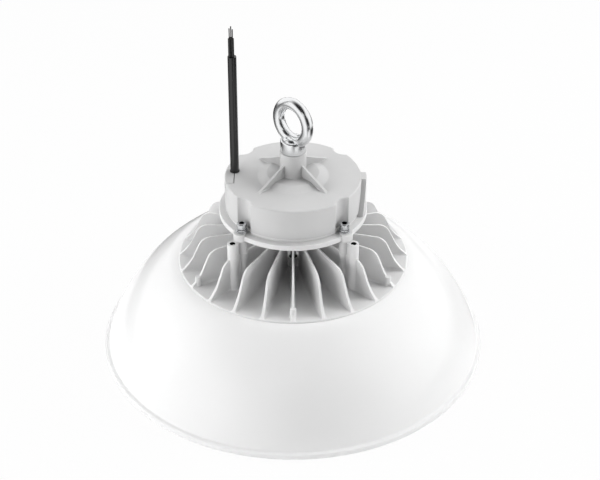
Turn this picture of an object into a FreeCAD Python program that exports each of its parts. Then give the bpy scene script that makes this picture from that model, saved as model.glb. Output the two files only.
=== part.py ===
import FreeCAD, Part

"""High bay light: a spun reflector under a finned die-cast heat sink, which carries the LED
board behind a glass cover and, on four posts, a cast driver housing with a lifting eye.

The frame: +Z is up, the origin is the centre of the reflector's rim, and the light hangs
with its mouth down, resting on that rim.  Lengths are in millimetres, angles in degrees.
"""

import math
import os

import Sketcher

Vector = FreeCAD.Vector
Rotation = FreeCAD.Rotation
Placement = FreeCAD.Placement

DOCUMENT = FreeCAD.newDocument("HighBayLight")

# ---------------------------------------------------------------------------------------
# Driving dimensions
# ---------------------------------------------------------------------------------------

DIMENSIONS = [
    # reflector
    ("rim_radius", 210.0, "outside of the reflector's turned-down lip"),
    ("sheet_gauge", 1.5, "spun aluminium sheet"),
    ("lip_height", 6.2, "top of the rim's flat above the mouth"),
    ("lip_bend", 2.0, "outer bend of the lip"),
    ("dome_foot_radius", 205.0, "where the dome meets the rim's flat"),
    ("dome_foot_height", 7.4, "where the dome meets the rim's flat"),
    ("dome_bend", 184.0, "profile radius of the dome"),
    ("shoulder_bend", 32.5, "profile radius of the shoulder"),
    ("shoulder_start", 118.4, "where the neck's flat turns into the shoulder"),
    ("neck_height", 107.6, "top of the neck's flat"),
    ("neck_radius", 112.3, "opening of the neck"),
    ("neck_screw_circle", 115.2, "circle of the reflector's screws"),
    ("neck_hole", 2.2, "holes for the reflector's screws, radius"),
    # heat sink
    ("disc_radius", 123.9, "heat sink disc"),
    ("disc_top", 109.2, "upper face of the disc"),
    ("spigot_radius", 111.3, "thick middle of the disc, inside the reflector's neck"),
    ("spigot_face", 99.2, "lower face of the thick middle"),
    ("board_pocket_radius", 88.0, "pocket that takes the LED board"),
    ("board_pocket_roof", 104.2, "roof of that pocket"),
    ("fin_count", 24.0, "radial fins"),
    ("fin_root", 3.2, "fin thickness at the disc"),
    ("fin_edge", 2.0, "fin thickness at the crest"),
    ("fin_inner_radius", 27.0, "inner ends of the fins"),
    ("crest_height", 147.0, "crest of the fins"),
    ("crest_end", 91.0, "where the crest starts to fall to the tip"),
    ("crest_bend", 14.0, "convex arc at the end of the crest"),
    ("tip_straight", 10.5, "fall of the straight stretch between the two arcs"),
    ("tip_bend", 48.0, "concave arc down to the tip"),
    ("post_circle", 88.4, "circle of the open posts"),
    ("post_radius", 5.75, "open posts"),
    ("post_top", 164.6, "upper faces of the open posts"),
    ("post_bore", 2.9, "tapped holes of the open posts, radius"),
    ("pillar_circle", 74.6, "circle of the pillars that carry the driver housing"),
    ("pillar_radius", 4.9, "pillars, and the legs of the driver base on them"),
    ("pillar_top", 147.0, "upper faces of the pillars"),
    ("pillar_bore", 2.6, "tapped holes of the pillars, radius"),
    ("post_web", 3.0, "webs between the posts and the pillars"),
    ("post_web_top", 161.6, "upper edges of those webs"),
    ("post_web_start", 80.2, "inner edge of a web above its pillar, clear of the leg"),
    ("boss_radius", 3.4, "bosses for the reflector's screws"),
    ("boss_top", 119.8, "upper faces of those bosses"),
    ("boss_bore", 1.7, "tapped holes of those bosses, radius"),
    ("lead_offset", 19.6, "lead hole, distance in front of the axis"),
    ("lead_boss_radius", 5.8, "hollow boss round the lead hole"),
    ("lead_boss_top", 119.8, "upper face of that boss"),
    ("lead_foot_radius", 7.2, "low step round the foot of that boss"),
    ("lead_foot_top", 110.6, "upper face of the low step"),
    ("lead_bore", 4.3, "lead hole, radius"),
    ("lead_radius", 2.8, "lead"),
    # optics
    ("pad_gauge", 0.5, "thermal pad"),
    ("board_gauge", 1.6, "LED board"),
    ("board_radius", 87.0, "LED board"),
    ("chip_side", 5.2, "LED packages"),
    ("chip_gauge", 0.9, "LED packages"),
    ("board_screw_circle", 80.0, "screws of the LED board"),
    ("board_lead_hole", 3.2, "holes of the board and its pad for the lead, radius"),
    ("glass_radius", 98.0, "cover glass"),
    ("glass_gauge", 4.0, "cover glass"),
    ("seal_inner", 91.0, "gasket of the cover glass"),
    ("seal_outer", 94.0, "gasket of the cover glass"),
    ("seal_gauge", 1.8, "gasket of the cover glass"),
    ("window_radius", 93.5, "opening of the glass ring"),
    ("ring_radius", 109.0, "glass ring"),
    ("ring_lip", 2.4, "lip of the ring under the glass"),
    ("ring_bevel", 1.2, "outer lower edge of the ring"),
    ("window_bevel", 1.6, "lower edge of the ring's opening"),
    ("ring_hole", 1.9, "holes for the ring's screws, radius"),
    ("ring_screw_circle", 103.6, "screws of the glass ring"),
    # driver base
    ("flange_radius", 78.6, "flange of the driver base"),
    ("flange_bottom", 165.7, "underside of the flange"),
    ("flange_top", 171.7, "upper face of the flange"),
    ("flange_round", 0.7, "rounded edges of the flange"),
    ("plug_radius", 70.6, "raised middle of the base, below the drum"),
    ("plug_top", 174.5, "upper face of the raised middle"),
    ("ear_circle", 77.8, "ears under the mounting screws"),
    ("ear_radius", 6.7, "ears"),
    ("ear_bottom", 164.6, "undersides of the ears"),
    ("ear_top", 173.4, "seats of the washers"),
    ("washer_seat", 6.8, "round seats of the washers, radius"),
    ("screw_circle", 75.0, "mounting screws"),
    ("screw_clearance", 3.3, "holes for the mounting screws, radius"),
    ("column_circle", 60.0, "screws between the base and the drum"),
    ("column_turn", 20.0, "their turn from the mounting screws, degrees"),
    ("column_radius", 4.6, "columns of the drum for those screws"),
    ("head_seat_radius", 4.2, "sinkings for the heads of those screws"),
    ("head_seat_depth", 3.2, "sinkings for the heads of those screws"),
    ("base_lead_hole", 5.0, "hole of the base for the lead, radius"),
    ("gasket_inner", 63.5, "opening of the gasket between the base and the drum"),
    ("washer_gauge", 1.6, "plain washers"),
    ("washer_radius", 6.1, "plain washers"),
    ("spring_gauge", 2.0, "spring washers"),
    ("spring_radius", 5.3, "spring washers"),
    # driver housing
    ("drum_radius", 72.0, "drum of the driver housing"),
    ("drum_foot", 175.3, "lower edge of the drum"),
    ("drum_top", 209.0, "upper face of the drum"),
    ("drum_round", 1.8, "rounded upper edge"),
    ("drum_roof", 205.8, "inside of the drum's top"),
    ("drum_inner", 69.0, "inside of the drum's wall"),
    ("notch_radius", 6.4, "notches for the mounting screws"),
    ("notch_wall", 9.0, "inside of the wall round a notch"),
    ("platform_foot", 36.5, "raised middle of the drum's top, at its foot"),
    ("platform_edge", 27.3, "the same, at its upper edge"),
    ("platform_top", 213.0, "upper face of the raised middle"),
    ("hub_radius", 13.9, "boss under the lifting eye"),
    ("hub_top", 239.0, "upper face of that boss"),
    ("web_gauge", 2.6, "triangular webs round the boss"),
    ("web_reach", 50.0, "outer ends of the webs"),
    ("web_top", 226.5, "where the webs meet the boss"),
    ("lug_reach", 77.2, "tapered lug on the right"),
    ("lug_foot", 172.1, "lower end of the lug"),
    ("lug_half_foot", 24.0, "half width of the lug at its foot"),
    ("lug_half_head", 7.0, "half width of the lug at its head"),
    ("lug_head", 208.4, "upper end of the lug"),
    # cord grip
    ("grip_face", 61.3, "seat of the cord grip, distance left of the axis"),
    ("grip_half", 25.0, "half length of the cord grip"),
    ("grip_bottom", 193.0, "floor of the cord grip's seat"),
    ("grip_gap", 0.9, "gap between the cord grip and the housing"),
    ("grip_slack", 0.7, "gap at each end of the cord grip"),
    ("grip_screw_reach", 16.0, "screws of the cord grip, distance from the cord"),
    ("grip_screw_level", 201.0, "height of those screws"),
    ("grip_screw_wall", 2.2, "wall under the heads of those screws"),
    ("grip_foot", 187.0, "lower end of the cord, inside the drum"),
    ("cord_left", 61.5, "cord, distance left of the axis"),
    ("cord_back", 8.5, "cord, distance behind the axis"),
    ("cord_radius", 4.5, "cord"),
    ("bush_radius", 4.7, "rubber bush round the cord"),
    ("collar_radius", 5.1, "collar of the bush"),
    ("collar_top", 210.6, "upper face of that collar"),
    ("cord_top", 343.0, "end of the jacket"),
    ("core_top", 363.4, "end of the cores' insulation"),
    ("wire_top", 373.9, "end of the bare wires"),
    ("core_radius", 1.5, "cores"),
    ("wire_radius", 0.55, "bare wires"),
    # lifting eye
    ("stud_radius", 5.9, "threaded stud, M12"),
    ("stud_foot", 220.0, "lower end of the stud"),
    ("collar_eye_radius", 13.35, "collar of the lifting eye"),
    ("collar_eye_top", 252.7, "upper face of that collar"),
    ("eye_centre", 272.4, "centre of the eye"),
    ("eye_radius", 20.75, "centre line of the eye"),
    ("eye_section", 6.1, "section of the eye"),
]


class Size:
    """A length together with the spreadsheet formula that drives it."""

    def __init__(self, value, formula):
        self.value = value
        self.formula = formula

    def __add__(self, other):
        other = as_size(other)
        return Size(self.value + other.value, f"({self.formula} + {other.formula})")

    def __sub__(self, other):
        other = as_size(other)
        return Size(self.value - other.value, f"({self.formula} - {other.formula})")

    def __mul__(self, other):
        other = as_size(other)
        return Size(self.value * other.value, f"({self.formula} * {other.formula})")

    def __truediv__(self, other):
        other = as_size(other)
        return Size(self.value / other.value, f"({self.formula} / {other.formula})")

    def __neg__(self):
        return Size(-self.value, f"(0 - {self.formula})")


def as_size(number):
    """A bare number as a Size."""
    if isinstance(number, Size):
        return number
    return Size(float(number), f"{float(number):.6f}")


def root(size):
    """Square root of a Size."""
    return Size(math.sqrt(size.value), f"sqrt({size.formula})")


def cosine(angle):
    """Cosine of a fixed angle, as a Size."""
    return Size(math.cos(math.radians(angle)), f"cos({angle})")


def sine(angle):
    """Sine of a fixed angle, as a Size."""
    return Size(math.sin(math.radians(angle)), f"sin({angle})")


def build_sheet():
    """The spreadsheet of driving dimensions, and a Size for each of them."""
    sheet = DOCUMENT.addObject("Spreadsheet::Sheet", "dims")
    sizes = {}
    for row, (name, value, meaning) in enumerate(DIMENSIONS, start=1):
        sheet.set(f"A{row}", name)
        sheet.set(f"B{row}", f"{value}")
        sheet.setAlias(f"B{row}", name)
        sheet.set(f"C{row}", meaning)
        sizes[name] = Size(value, f"dims.{name}")
    DOCUMENT.recompute()
    return sizes


D = build_sheet()
ZERO = as_size(0.0)
LEFT = "left"
RIGHT = "right"
POST_ANGLE = 45.0
FULL_TURN = 360.0
OVERLAP = 1.0  # how far a fused feature reaches into the one that carries it

# ---------------------------------------------------------------------------------------
# Sketches and features
# ---------------------------------------------------------------------------------------


def new_body(name, turn=0.0):
    """An empty body, turned about the vertical axis."""
    body = DOCUMENT.addObject("PartDesign::Body", name)
    body.Label = name
    body.AllowCompound = True
    body.Placement = Placement(Vector(), Rotation(Vector(0, 0, 1), turn))
    return body


def origin_part(body, role):
    """One of the body's own origin planes or axes."""
    for feature in body.Origin.OriginFeatures:
        if feature.Role == role:
            return feature
    raise ValueError(role)


def sketch_on(body, name, plane, height=None, turn=0.0, along=None):
    """A sketch on an origin plane, lifted off it by height, shifted by along in its own
    first direction, or turned about the vertical axis."""
    sketch = body.newObject("Sketcher::SketchObject", name)
    sketch.AttachmentSupport = [(origin_part(body, plane), "")]
    sketch.MapMode = "FlatFace"
    level = plane == "XY_Plane"
    upright = Vector(0, 0, 1) if level else Vector(0, 1, 0)
    sketch.AttachmentOffset = Placement(Vector(), Rotation(upright, turn))
    if height is not None:
        away = height if level else height * cosine(turn)
        sketch.setExpression("AttachmentOffset.Base.z", away.formula)
    if height is not None and turn and not level:
        sketch.setExpression("AttachmentOffset.Base.x", (height * sine(turn)).formula)
    if along is not None:
        sketch.setExpression("AttachmentOffset.Base.x", along.formula)
    return sketch


def bind(sketch, constraint, size):
    """Add a constraint and drive it from the spreadsheet."""
    number = sketch.addConstraint(constraint)
    sketch.setExpression(f"Constraints[{number}]", size.formula)


def pin_point(sketch, geometry, point, x, y):
    """Fix a point of a sketch at (x, y)."""
    if x.value == 0.0:
        sketch.addConstraint(Sketcher.Constraint("PointOnObject", geometry, point, -2))
    else:
        bind(sketch, Sketcher.Constraint("DistanceX", -1, 1, geometry, point, x.value), x)
    if y.value == 0.0:
        sketch.addConstraint(Sketcher.Constraint("PointOnObject", geometry, point, -1))
    else:
        bind(sketch, Sketcher.Constraint("DistanceY", -1, 1, geometry, point, y.value), y)


def arc_edge(start, end, radius, turn):
    """The short arc from start to end.  Sketcher arcs run anticlockwise, so the second
    value says which end of the arc is the start."""
    chord = end - start
    half = chord.Length / 2
    normal = Vector(-chord.y, chord.x, 0).normalize()
    reach = math.sqrt(max(radius * radius - half * half, 0.0))
    side = 1 if turn == LEFT else -1
    centre = (start + end) * 0.5 + normal * (reach * side)
    first = start if turn == LEFT else end
    last = end if turn == LEFT else start
    first_angle = math.atan2(first.y - centre.y, first.x - centre.x)
    last_angle = math.atan2(last.y - centre.y, last.x - centre.x)
    if last_angle < first_angle:
        last_angle += 2 * math.pi
    circle = Part.Circle(centre, Vector(0, 0, 1), radius)
    return Part.ArcOfCircle(circle, first_angle, last_angle), turn == LEFT


def outline(sketch, corners):
    """A closed outline.  A corner is (x, y), reached by a straight line, or
    (x, y, radius, turn), reached by an arc that turns left or right."""
    corners = [
        tuple(value if isinstance(value, str) else as_size(value) for value in corner)
        for corner in corners
    ]
    points = [Vector(corner[0].value, corner[1].value, 0) for corner in corners]
    edges = []
    for index, corner in enumerate(corners):
        start = points[index - 1]
        end = points[index]
        if len(corner) == 2:
            number = sketch.addGeometry(Part.LineSegment(start, end))
            edges.append((number, 1, 2))
            continue
        arc, forward = arc_edge(start, end, corner[2].value, corner[3])
        number = sketch.addGeometry(arc)
        edges.append((number, 1, 2) if forward else (number, 2, 1))
    for index, (number, _, end_point) in enumerate(edges):
        following = edges[(index + 1) % len(edges)]
        sketch.addConstraint(
            Sketcher.Constraint("Coincident", number, end_point, following[0], following[1])
        )
        pin_point(sketch, number, end_point, corners[index][0], corners[index][1])
        if len(corners[index]) > 2:
            radius = corners[index][2]
            bind(sketch, Sketcher.Constraint("Radius", number, radius.value), radius)
    return sketch


def circle(sketch, x, y, radius):
    """A full circle."""
    x = as_size(x)
    y = as_size(y)
    radius = as_size(radius)
    centre = Vector(x.value, y.value, 0)
    number = sketch.addGeometry(Part.Circle(centre, Vector(0, 0, 1), radius.value))
    bind(sketch, Sketcher.Constraint("Radius", number, radius.value), radius)
    if x.value == 0.0 and y.value == 0.0:
        sketch.addConstraint(Sketcher.Constraint("Coincident", number, 3, -1, 1))
    else:
        pin_point(sketch, number, 3, x, y)
    return sketch


def regular_polygon(sketch, radius, sides):
    """A regular polygon round the sketch's origin, radius measured to its corners."""
    step = FULL_TURN / sides
    corners = [(radius * cosine(step * k), radius * sine(step * k)) for k in range(sides)]
    return outline(sketch, [(snap(x), snap(y)) for x, y in corners])


def snap(size):
    """A coordinate that is zero but for rounding becomes exactly zero."""
    return ZERO if abs(size.value) < 1e-9 else size


def revolve(body, name, sketch):
    """A full turn about the sketch's upright axis."""
    feature = body.newObject("PartDesign::Revolution", name)
    feature.Profile = sketch
    feature.ReferenceAxis = (sketch, ["V_Axis"])
    feature.Angle = FULL_TURN
    return feature


def pad(body, name, sketch, length, both_sides=False, down=False):
    """Material along the sketch's normal."""
    feature = body.newObject("PartDesign::Pad", name)
    feature.Profile = sketch
    feature.SideType = "Symmetric" if both_sides else "One side"
    feature.Reversed = down
    feature.setExpression("Length", as_size(length).formula)
    return feature


def pocket(body, name, sketch, depth, both_sides=False, up=False):
    """A cut against the sketch's normal, or along it with up."""
    feature = body.newObject("PartDesign::Pocket", name)
    feature.Profile = sketch
    feature.Type = "Length"
    feature.SideType = "Symmetric" if both_sides else "One side"
    feature.Reversed = up
    feature.setExpression("Length", as_size(depth).formula)
    return feature


def around(body, name, features, count):
    """Repeat features evenly about the vertical axis."""
    pattern = body.newObject("PartDesign::PolarPattern", name)
    pattern.Originals = features
    pattern.Axis = (origin_part(body, "Z_Axis"), [""])
    pattern.Angle = FULL_TURN
    pattern.Occurrences = count
    body.Tip = pattern
    return pattern


def ring_sketch(body, name, height, circle_radius, radius, turn=0.0):
    """One circle on a circle about the axis, on a level plane."""
    sketch = sketch_on(body, name, "XY_Plane", height)
    x = snap(circle_radius * cosine(turn))
    y = snap(circle_radius * sine(turn))
    return circle(sketch, x, y, radius)


def drilled_ring(body, name, top, depth, circle_radius, radius, count, turn=0.0):
    """A ring of plain holes, drilled down from top."""
    sketch = ring_sketch(body, f"{name}_plan", top, circle_radius, radius, turn)
    hole = pocket(body, name, sketch, depth)
    return around(body, f"{name}_ring", [hole], count)


# ---------------------------------------------------------------------------------------
# Reflector
# ---------------------------------------------------------------------------------------


def reflector():
    """Spun bell: a flat neck, a tight shoulder, a long dome and a turned-down lip."""
    body = new_body("reflector")
    gauge = D["sheet_gauge"]
    turn = 36.0  # slope of the profile where the shoulder meets the dome
    foot = 72.6  # slope of the dome at its foot
    neck_under = D["neck_height"] - gauge
    join_x = D["shoulder_start"] + D["shoulder_bend"] * sine(turn)
    join_y = D["neck_height"] - D["shoulder_bend"] * (as_size(1) - cosine(turn))
    foot_in_x = D["dome_foot_radius"] - gauge * sine(foot)
    foot_in_y = D["dome_foot_height"] - gauge * cosine(foot)
    flat_out = D["rim_radius"] - D["lip_bend"]
    lip_in = D["rim_radius"] - gauge
    inner_bend = D["lip_bend"] - gauge
    sketch = sketch_on(body, "profile", "XZ_Plane")
    outline(
        sketch,
        [
            (D["neck_radius"], neck_under),
            (D["neck_radius"], D["neck_height"]),
            (D["shoulder_start"], D["neck_height"]),
            (join_x, join_y, D["shoulder_bend"], RIGHT),
            (D["dome_foot_radius"], D["dome_foot_height"], D["dome_bend"], RIGHT),
            (D["dome_foot_radius"] + gauge * 0.8, D["lip_height"], gauge, LEFT),
            (flat_out, D["lip_height"]),
            (D["rim_radius"], D["lip_height"] - D["lip_bend"], D["lip_bend"], RIGHT),
            (D["rim_radius"], ZERO),
            (lip_in, ZERO),
            (lip_in, D["lip_height"] - D["lip_bend"]),
            (flat_out, D["lip_height"] - gauge, inner_bend, LEFT),
            (foot_in_x + gauge * 1.3, D["lip_height"] - gauge),
            (foot_in_x, foot_in_y, gauge * 2, RIGHT),
            (
                join_x - gauge * sine(turn),
                join_y - gauge * cosine(turn),
                D["dome_bend"] - gauge,
                LEFT,
            ),
            (D["shoulder_start"], neck_under, D["shoulder_bend"] - gauge, LEFT),
        ],
    )
    revolve(body, "bell", sketch)
    above = D["neck_height"] + OVERLAP
    depth = gauge + 2 * OVERLAP
    drilled_ring(body, "screw_hole", above, depth, D["neck_screw_circle"], D["neck_hole"], 6, 30.0)
    return body


def headed_screws(name, circle_radius, count, turn, levels, radii, key):
    """A ring of screws with turned heads and hexagon sockets.

    levels are the heights of the shank's end, the head's seat and the head's crown; radii
    are those of the shank and the head; key is the socket's corner radius.
    """
    body = new_body(name, turn)
    tip, seat, crown = levels
    shank, head = radii
    direction = 1.0 if crown.value > seat.value else -1.0
    bevel = as_size(direction * 0.5)
    sketch = sketch_on(body, "profile", "XZ_Plane", along=circle_radius)
    outline(
        sketch,
        [
            (0.0, tip),
            (shank, tip),
            (shank, seat),
            (head, seat),
            (head, crown - bevel),
            (head - 0.5, crown),
            (0.0, crown),
        ],
    )
    screw = revolve(body, "turned", sketch)
    socket_plan = sketch_on(body, "socket_plan", "XY_Plane", crown, along=circle_radius)
    regular_polygon(socket_plan, key, 6)
    depth = (crown - seat) * direction * 0.55
    socket = pocket(body, "socket", socket_plan, depth, up=direction < 0)
    around(body, "set", [screw, socket], count)
    return body


def reflector_screws():
    """Six screws up through the reflector's neck into the heat sink's bosses."""
    neck_under = D["neck_height"] - D["sheet_gauge"]
    return headed_screws(
        "reflector_screws",
        D["neck_screw_circle"],
        6,
        30.0,
        (D["boss_top"] - 5, neck_under, neck_under - 2.4),
        (as_size(1.65), as_size(3.1)),
        as_size(1.5),
    )


# ---------------------------------------------------------------------------------------
# Heat sink
# ---------------------------------------------------------------------------------------


def fin_features(body):
    """One fin: a tapered blade, its outer end trimmed to the swept tip."""
    blade_plan = sketch_on(body, "blade_section", "YZ_Plane", D["fin_inner_radius"])
    root = D["fin_root"] * 0.5
    edge = D["fin_edge"] * 0.5
    foot = D["disc_top"] - OVERLAP
    outline(
        blade_plan,
        [(-root, foot), (root, foot), (edge, D["crest_height"]), (-edge, D["crest_height"])],
    )
    blade = pad(body, "blade", blade_plan, D["disc_radius"] - D["fin_inner_radius"])
    steep = 65.0  # steepest slope of the swept tip
    bend = D["crest_bend"]
    fall_x = D["crest_end"] + bend * sine(steep)
    fall_y = D["crest_height"] - bend * (as_size(1) - cosine(steep))
    drop = D["tip_straight"]
    swept_x = fall_x + drop * cosine(steep) / sine(steep)
    swept_y = fall_y - drop
    above = D["crest_height"] + 2 * OVERLAP
    trim_plan = sketch_on(body, "blade_outline", "XZ_Plane")
    outline(
        trim_plan,
        [
            (D["crest_end"], D["crest_height"]),
            (fall_x, fall_y, bend, RIGHT),
            (swept_x, swept_y),
            (D["disc_radius"], D["disc_top"], D["tip_bend"], LEFT),
            (D["disc_radius"] + 2, D["disc_top"]),
            (D["disc_radius"] + 2, above),
            (D["crest_end"], above),
        ],
    )
    trim = pocket(body, "blade_trim", trim_plan, D["fin_root"] + OVERLAP, both_sides=True)
    return [blade, trim]


def heat_sink():
    """Die casting: a disc with 24 swept fins, four open posts joined by webs to four
    pillars, six screw bosses and a hollow boss for the lead."""
    body = new_body("heat_sink", POST_ANGLE)
    # the underside follows the reflector's shoulder, on which the disc's edge sits
    past_neck = D["disc_radius"] - D["shoulder_start"]
    shoulder = D["shoulder_bend"]
    edge_foot = D["neck_height"] - shoulder + root(shoulder * shoulder - past_neck * past_neck)
    section = sketch_on(body, "disc_section", "XZ_Plane")
    outline(
        section,
        [
            (0.0, D["board_pocket_roof"]),
            (D["board_pocket_radius"], D["board_pocket_roof"]),
            (D["board_pocket_radius"], D["spigot_face"]),
            (D["seal_inner"], D["spigot_face"]),
            (D["seal_inner"], D["spigot_face"] + D["seal_gauge"]),
            (D["seal_outer"], D["spigot_face"] + D["seal_gauge"]),
            (D["seal_outer"], D["spigot_face"]),
            (D["spigot_radius"], D["spigot_face"]),
            (D["spigot_radius"], D["neck_height"]),
            (D["shoulder_start"], D["neck_height"]),
            (D["disc_radius"], edge_foot, shoulder, RIGHT),
            (D["disc_radius"], D["disc_top"]),
            (0.0, D["disc_top"]),
        ],
    )
    revolve(body, "disc", section)
    around(body, "fins", fin_features(body), int(D["fin_count"].value))

    foot = D["disc_top"] - OVERLAP
    web_outline = sketch_on(body, "web_outline", "XZ_Plane")
    outline(
        web_outline,
        [
            (D["pillar_circle"], foot),
            (D["post_circle"], foot),
            (D["post_circle"], D["post_web_top"]),
            (D["post_web_start"], D["post_web_top"]),
            (D["post_web_start"], D["pillar_top"] - OVERLAP),
            (D["pillar_circle"], D["pillar_top"] - OVERLAP),
        ],
    )
    web = pad(body, "web", web_outline, D["post_web"], both_sides=True)
    pillar_plan = ring_sketch(body, "pillar_plan", foot, D["pillar_circle"], D["pillar_radius"])
    pillar = pad(body, "pillar", pillar_plan, D["pillar_top"] - foot)
    post_plan = ring_sketch(body, "post_plan", foot, D["post_circle"], D["post_radius"])
    post = pad(body, "post", post_plan, D["post_top"] - foot)
    around(body, "supports", [web, pillar, post], 4)
    drilled_ring(body, "post_hole", D["post_top"], 25.0, D["post_circle"], D["post_bore"], 4)
    drilled_ring(body, "pillar_hole", D["pillar_top"], 20.0, D["screw_circle"], D["pillar_bore"], 4)

    boss_plan = ring_sketch(body, "boss_plan", foot, D["neck_screw_circle"], D["boss_radius"], 45.0)
    boss = pad(body, "boss", boss_plan, D["boss_top"] - foot)
    around(body, "bosses", [boss], 6)
    blind = sketch_on(body, "boss_hole_plan", "XY_Plane", D["neck_height"] - OVERLAP)
    boss_x = D["neck_screw_circle"] * cosine(45.0)
    boss_y = D["neck_screw_circle"] * sine(45.0)
    circle(blind, boss_x, boss_y, D["boss_bore"])
    boss_hole = pocket(body, "boss_hole", blind, D["boss_top"] - D["neck_height"] - 2, up=True)
    around(body, "boss_holes", [boss_hole], 6)

    # the lead hole lies in front of the axis, which is this angle in the turned body
    lead_angle = -90.0 - POST_ANGLE
    for name, radius, top in (
        ("lead_boss_foot", D["lead_foot_radius"], D["lead_foot_top"]),
        ("lead_boss", D["lead_boss_radius"], D["lead_boss_top"]),
    ):
        plan = ring_sketch(body, f"{name}_plan", foot, D["lead_offset"], radius, lead_angle)
        pad(body, name, plan, top - foot)
    lead_plan = ring_sketch(
        body, "lead_hole_plan", D["lead_boss_top"], D["lead_offset"], D["lead_bore"], lead_angle
    )
    pocket(body, "lead_hole", lead_plan, D["lead_boss_top"] - D["board_pocket_roof"] + OVERLAP)

    for name, level, depth, radius_circle, count in (
        ("board_hole", D["board_pocket_roof"], 3.5, D["board_screw_circle"], 6),
        ("ring_hole", D["spigot_face"], 7.0, D["ring_screw_circle"], 8),
    ):
        plan = ring_sketch(body, f"{name}_plan", level - OVERLAP, radius_circle, 1.3, 0.0)
        hole = pocket(body, name, plan, as_size(depth) + OVERLAP, up=True)
        around(body, f"{name}s", [hole], count)
    return body


# ---------------------------------------------------------------------------------------
# LED board and cover glass
# ---------------------------------------------------------------------------------------


def round_plate(name, bottom, gauge, hole_radius):
    """A plate of the board's radius, with six screw holes and the lead hole."""
    body = new_body(name, POST_ANGLE)
    plan = sketch_on(body, "plan", "XY_Plane", bottom)
    circle(plan, 0.0, 0.0, D["board_radius"])
    pad(body, "plate", plan, gauge)
    top = bottom + gauge
    drilled_ring(body, "hole", top, gauge, D["board_screw_circle"], hole_radius, 6)
    lead_angle = -90.0 - POST_ANGLE
    lead = ring_sketch(body, "lead_plan", top, D["lead_offset"], D["board_lead_hole"], lead_angle)
    pocket(body, "lead_hole", lead, gauge)
    return body


def thermal_pad():
    """Soft pad between the LED board and the heat sink."""
    bottom = D["board_pocket_roof"] - D["pad_gauge"]
    return round_plate("thermal_pad", bottom, D["pad_gauge"], 1.8)


def board_face():
    """Height of the LED board's lower face."""
    return D["board_pocket_roof"] - D["pad_gauge"] - D["board_gauge"]


def led_board():
    """Round aluminium-core board."""
    return round_plate("led_board", board_face(), D["board_gauge"], 1.6)


def led_chips():
    """Square LED packages on four rings, soldered under the board."""
    body = new_body("led_chips")
    side = D["chip_side"] * 0.5
    level = board_face() - D["chip_gauge"]
    for number, radius in enumerate((24.0, 38.0, 52.0, 66.0), start=1):
        plan = sketch_on(body, f"ring_{number}_plan", "XY_Plane", level)
        middle = as_size(radius)
        outline(
            plan,
            [
                (middle - side, -side),
                (middle + side, -side),
                (middle + side, side),
                (middle - side, side),
            ],
        )
        chip = pad(body, f"ring_{number}_chip", plan, D["chip_gauge"])
        around(body, f"ring_{number}", [chip], 8 * number)
    return body


def board_screws():
    """Six screws that pull the board up against its pad."""
    return headed_screws(
        "board_screws",
        D["board_screw_circle"],
        6,
        POST_ANGLE,
        (D["board_pocket_roof"] + 3, board_face(), board_face() - 1.6),
        (as_size(1.25), as_size(2.6)),
        as_size(1.2),
    )


def ring_between(name, bottom, top, inner, outer):
    """A plain turned ring."""
    body = new_body(name)
    section = sketch_on(body, "section", "XZ_Plane")
    outline(section, [(inner, bottom), (outer, bottom), (outer, top), (inner, top)])
    revolve(body, "ring", section)
    return body


def lens_gasket():
    """Silicone ring in the groove round the board pocket."""
    top = D["spigot_face"] + D["seal_gauge"]
    return ring_between("lens_gasket", D["spigot_face"], top, D["seal_inner"], D["seal_outer"])


def glass_cover():
    """Tempered glass disc below the LEDs, its lower edge bevelled."""
    body = new_body("glass_cover")
    section = sketch_on(body, "section", "XZ_Plane")
    bottom = D["spigot_face"] - D["glass_gauge"]
    outline(
        section,
        [
            (0.0, bottom),
            (D["glass_radius"] - 0.6, bottom),
            (D["glass_radius"], bottom + 0.6),
            (D["glass_radius"], D["spigot_face"]),
            (0.0, D["spigot_face"]),
        ],
    )
    revolve(body, "disc", section)
    return body


def lens_ring():
    """Turned ring that holds the glass up, with eight screw holes."""
    body = new_body("lens_ring")
    glass_foot = D["spigot_face"] - D["glass_gauge"]
    bottom = glass_foot - D["ring_lip"]
    seat = D["glass_radius"] + 0.4
    section = sketch_on(body, "section", "XZ_Plane")
    outline(
        section,
        [
            (D["window_radius"] + D["window_bevel"], bottom),
            (D["ring_radius"] - D["ring_bevel"], bottom),
            (D["ring_radius"], bottom + D["ring_bevel"]),
            (D["ring_radius"], D["spigot_face"]),
            (seat, D["spigot_face"]),
            (seat, glass_foot),
            (D["window_radius"], glass_foot),
            (D["window_radius"], bottom + D["window_bevel"]),
        ],
    )
    revolve(body, "ring", section)
    top = D["spigot_face"]
    drilled_ring(body, "hole", top, top - bottom, D["ring_screw_circle"], D["ring_hole"], 8, POST_ANGLE)
    return body


def lens_ring_screws():
    """Eight screws up through the ring into the heat sink."""
    bottom = D["spigot_face"] - D["glass_gauge"] - D["ring_lip"]
    return headed_screws(
        "lens_ring_screws",
        D["ring_screw_circle"],
        8,
        POST_ANGLE,
        (D["spigot_face"] + 6, bottom, bottom - 2.2),
        (as_size(1.25), as_size(3.4)),
        as_size(1.5),
    )


# ---------------------------------------------------------------------------------------
# Driver base and what stands on it
# ---------------------------------------------------------------------------------------


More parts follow.
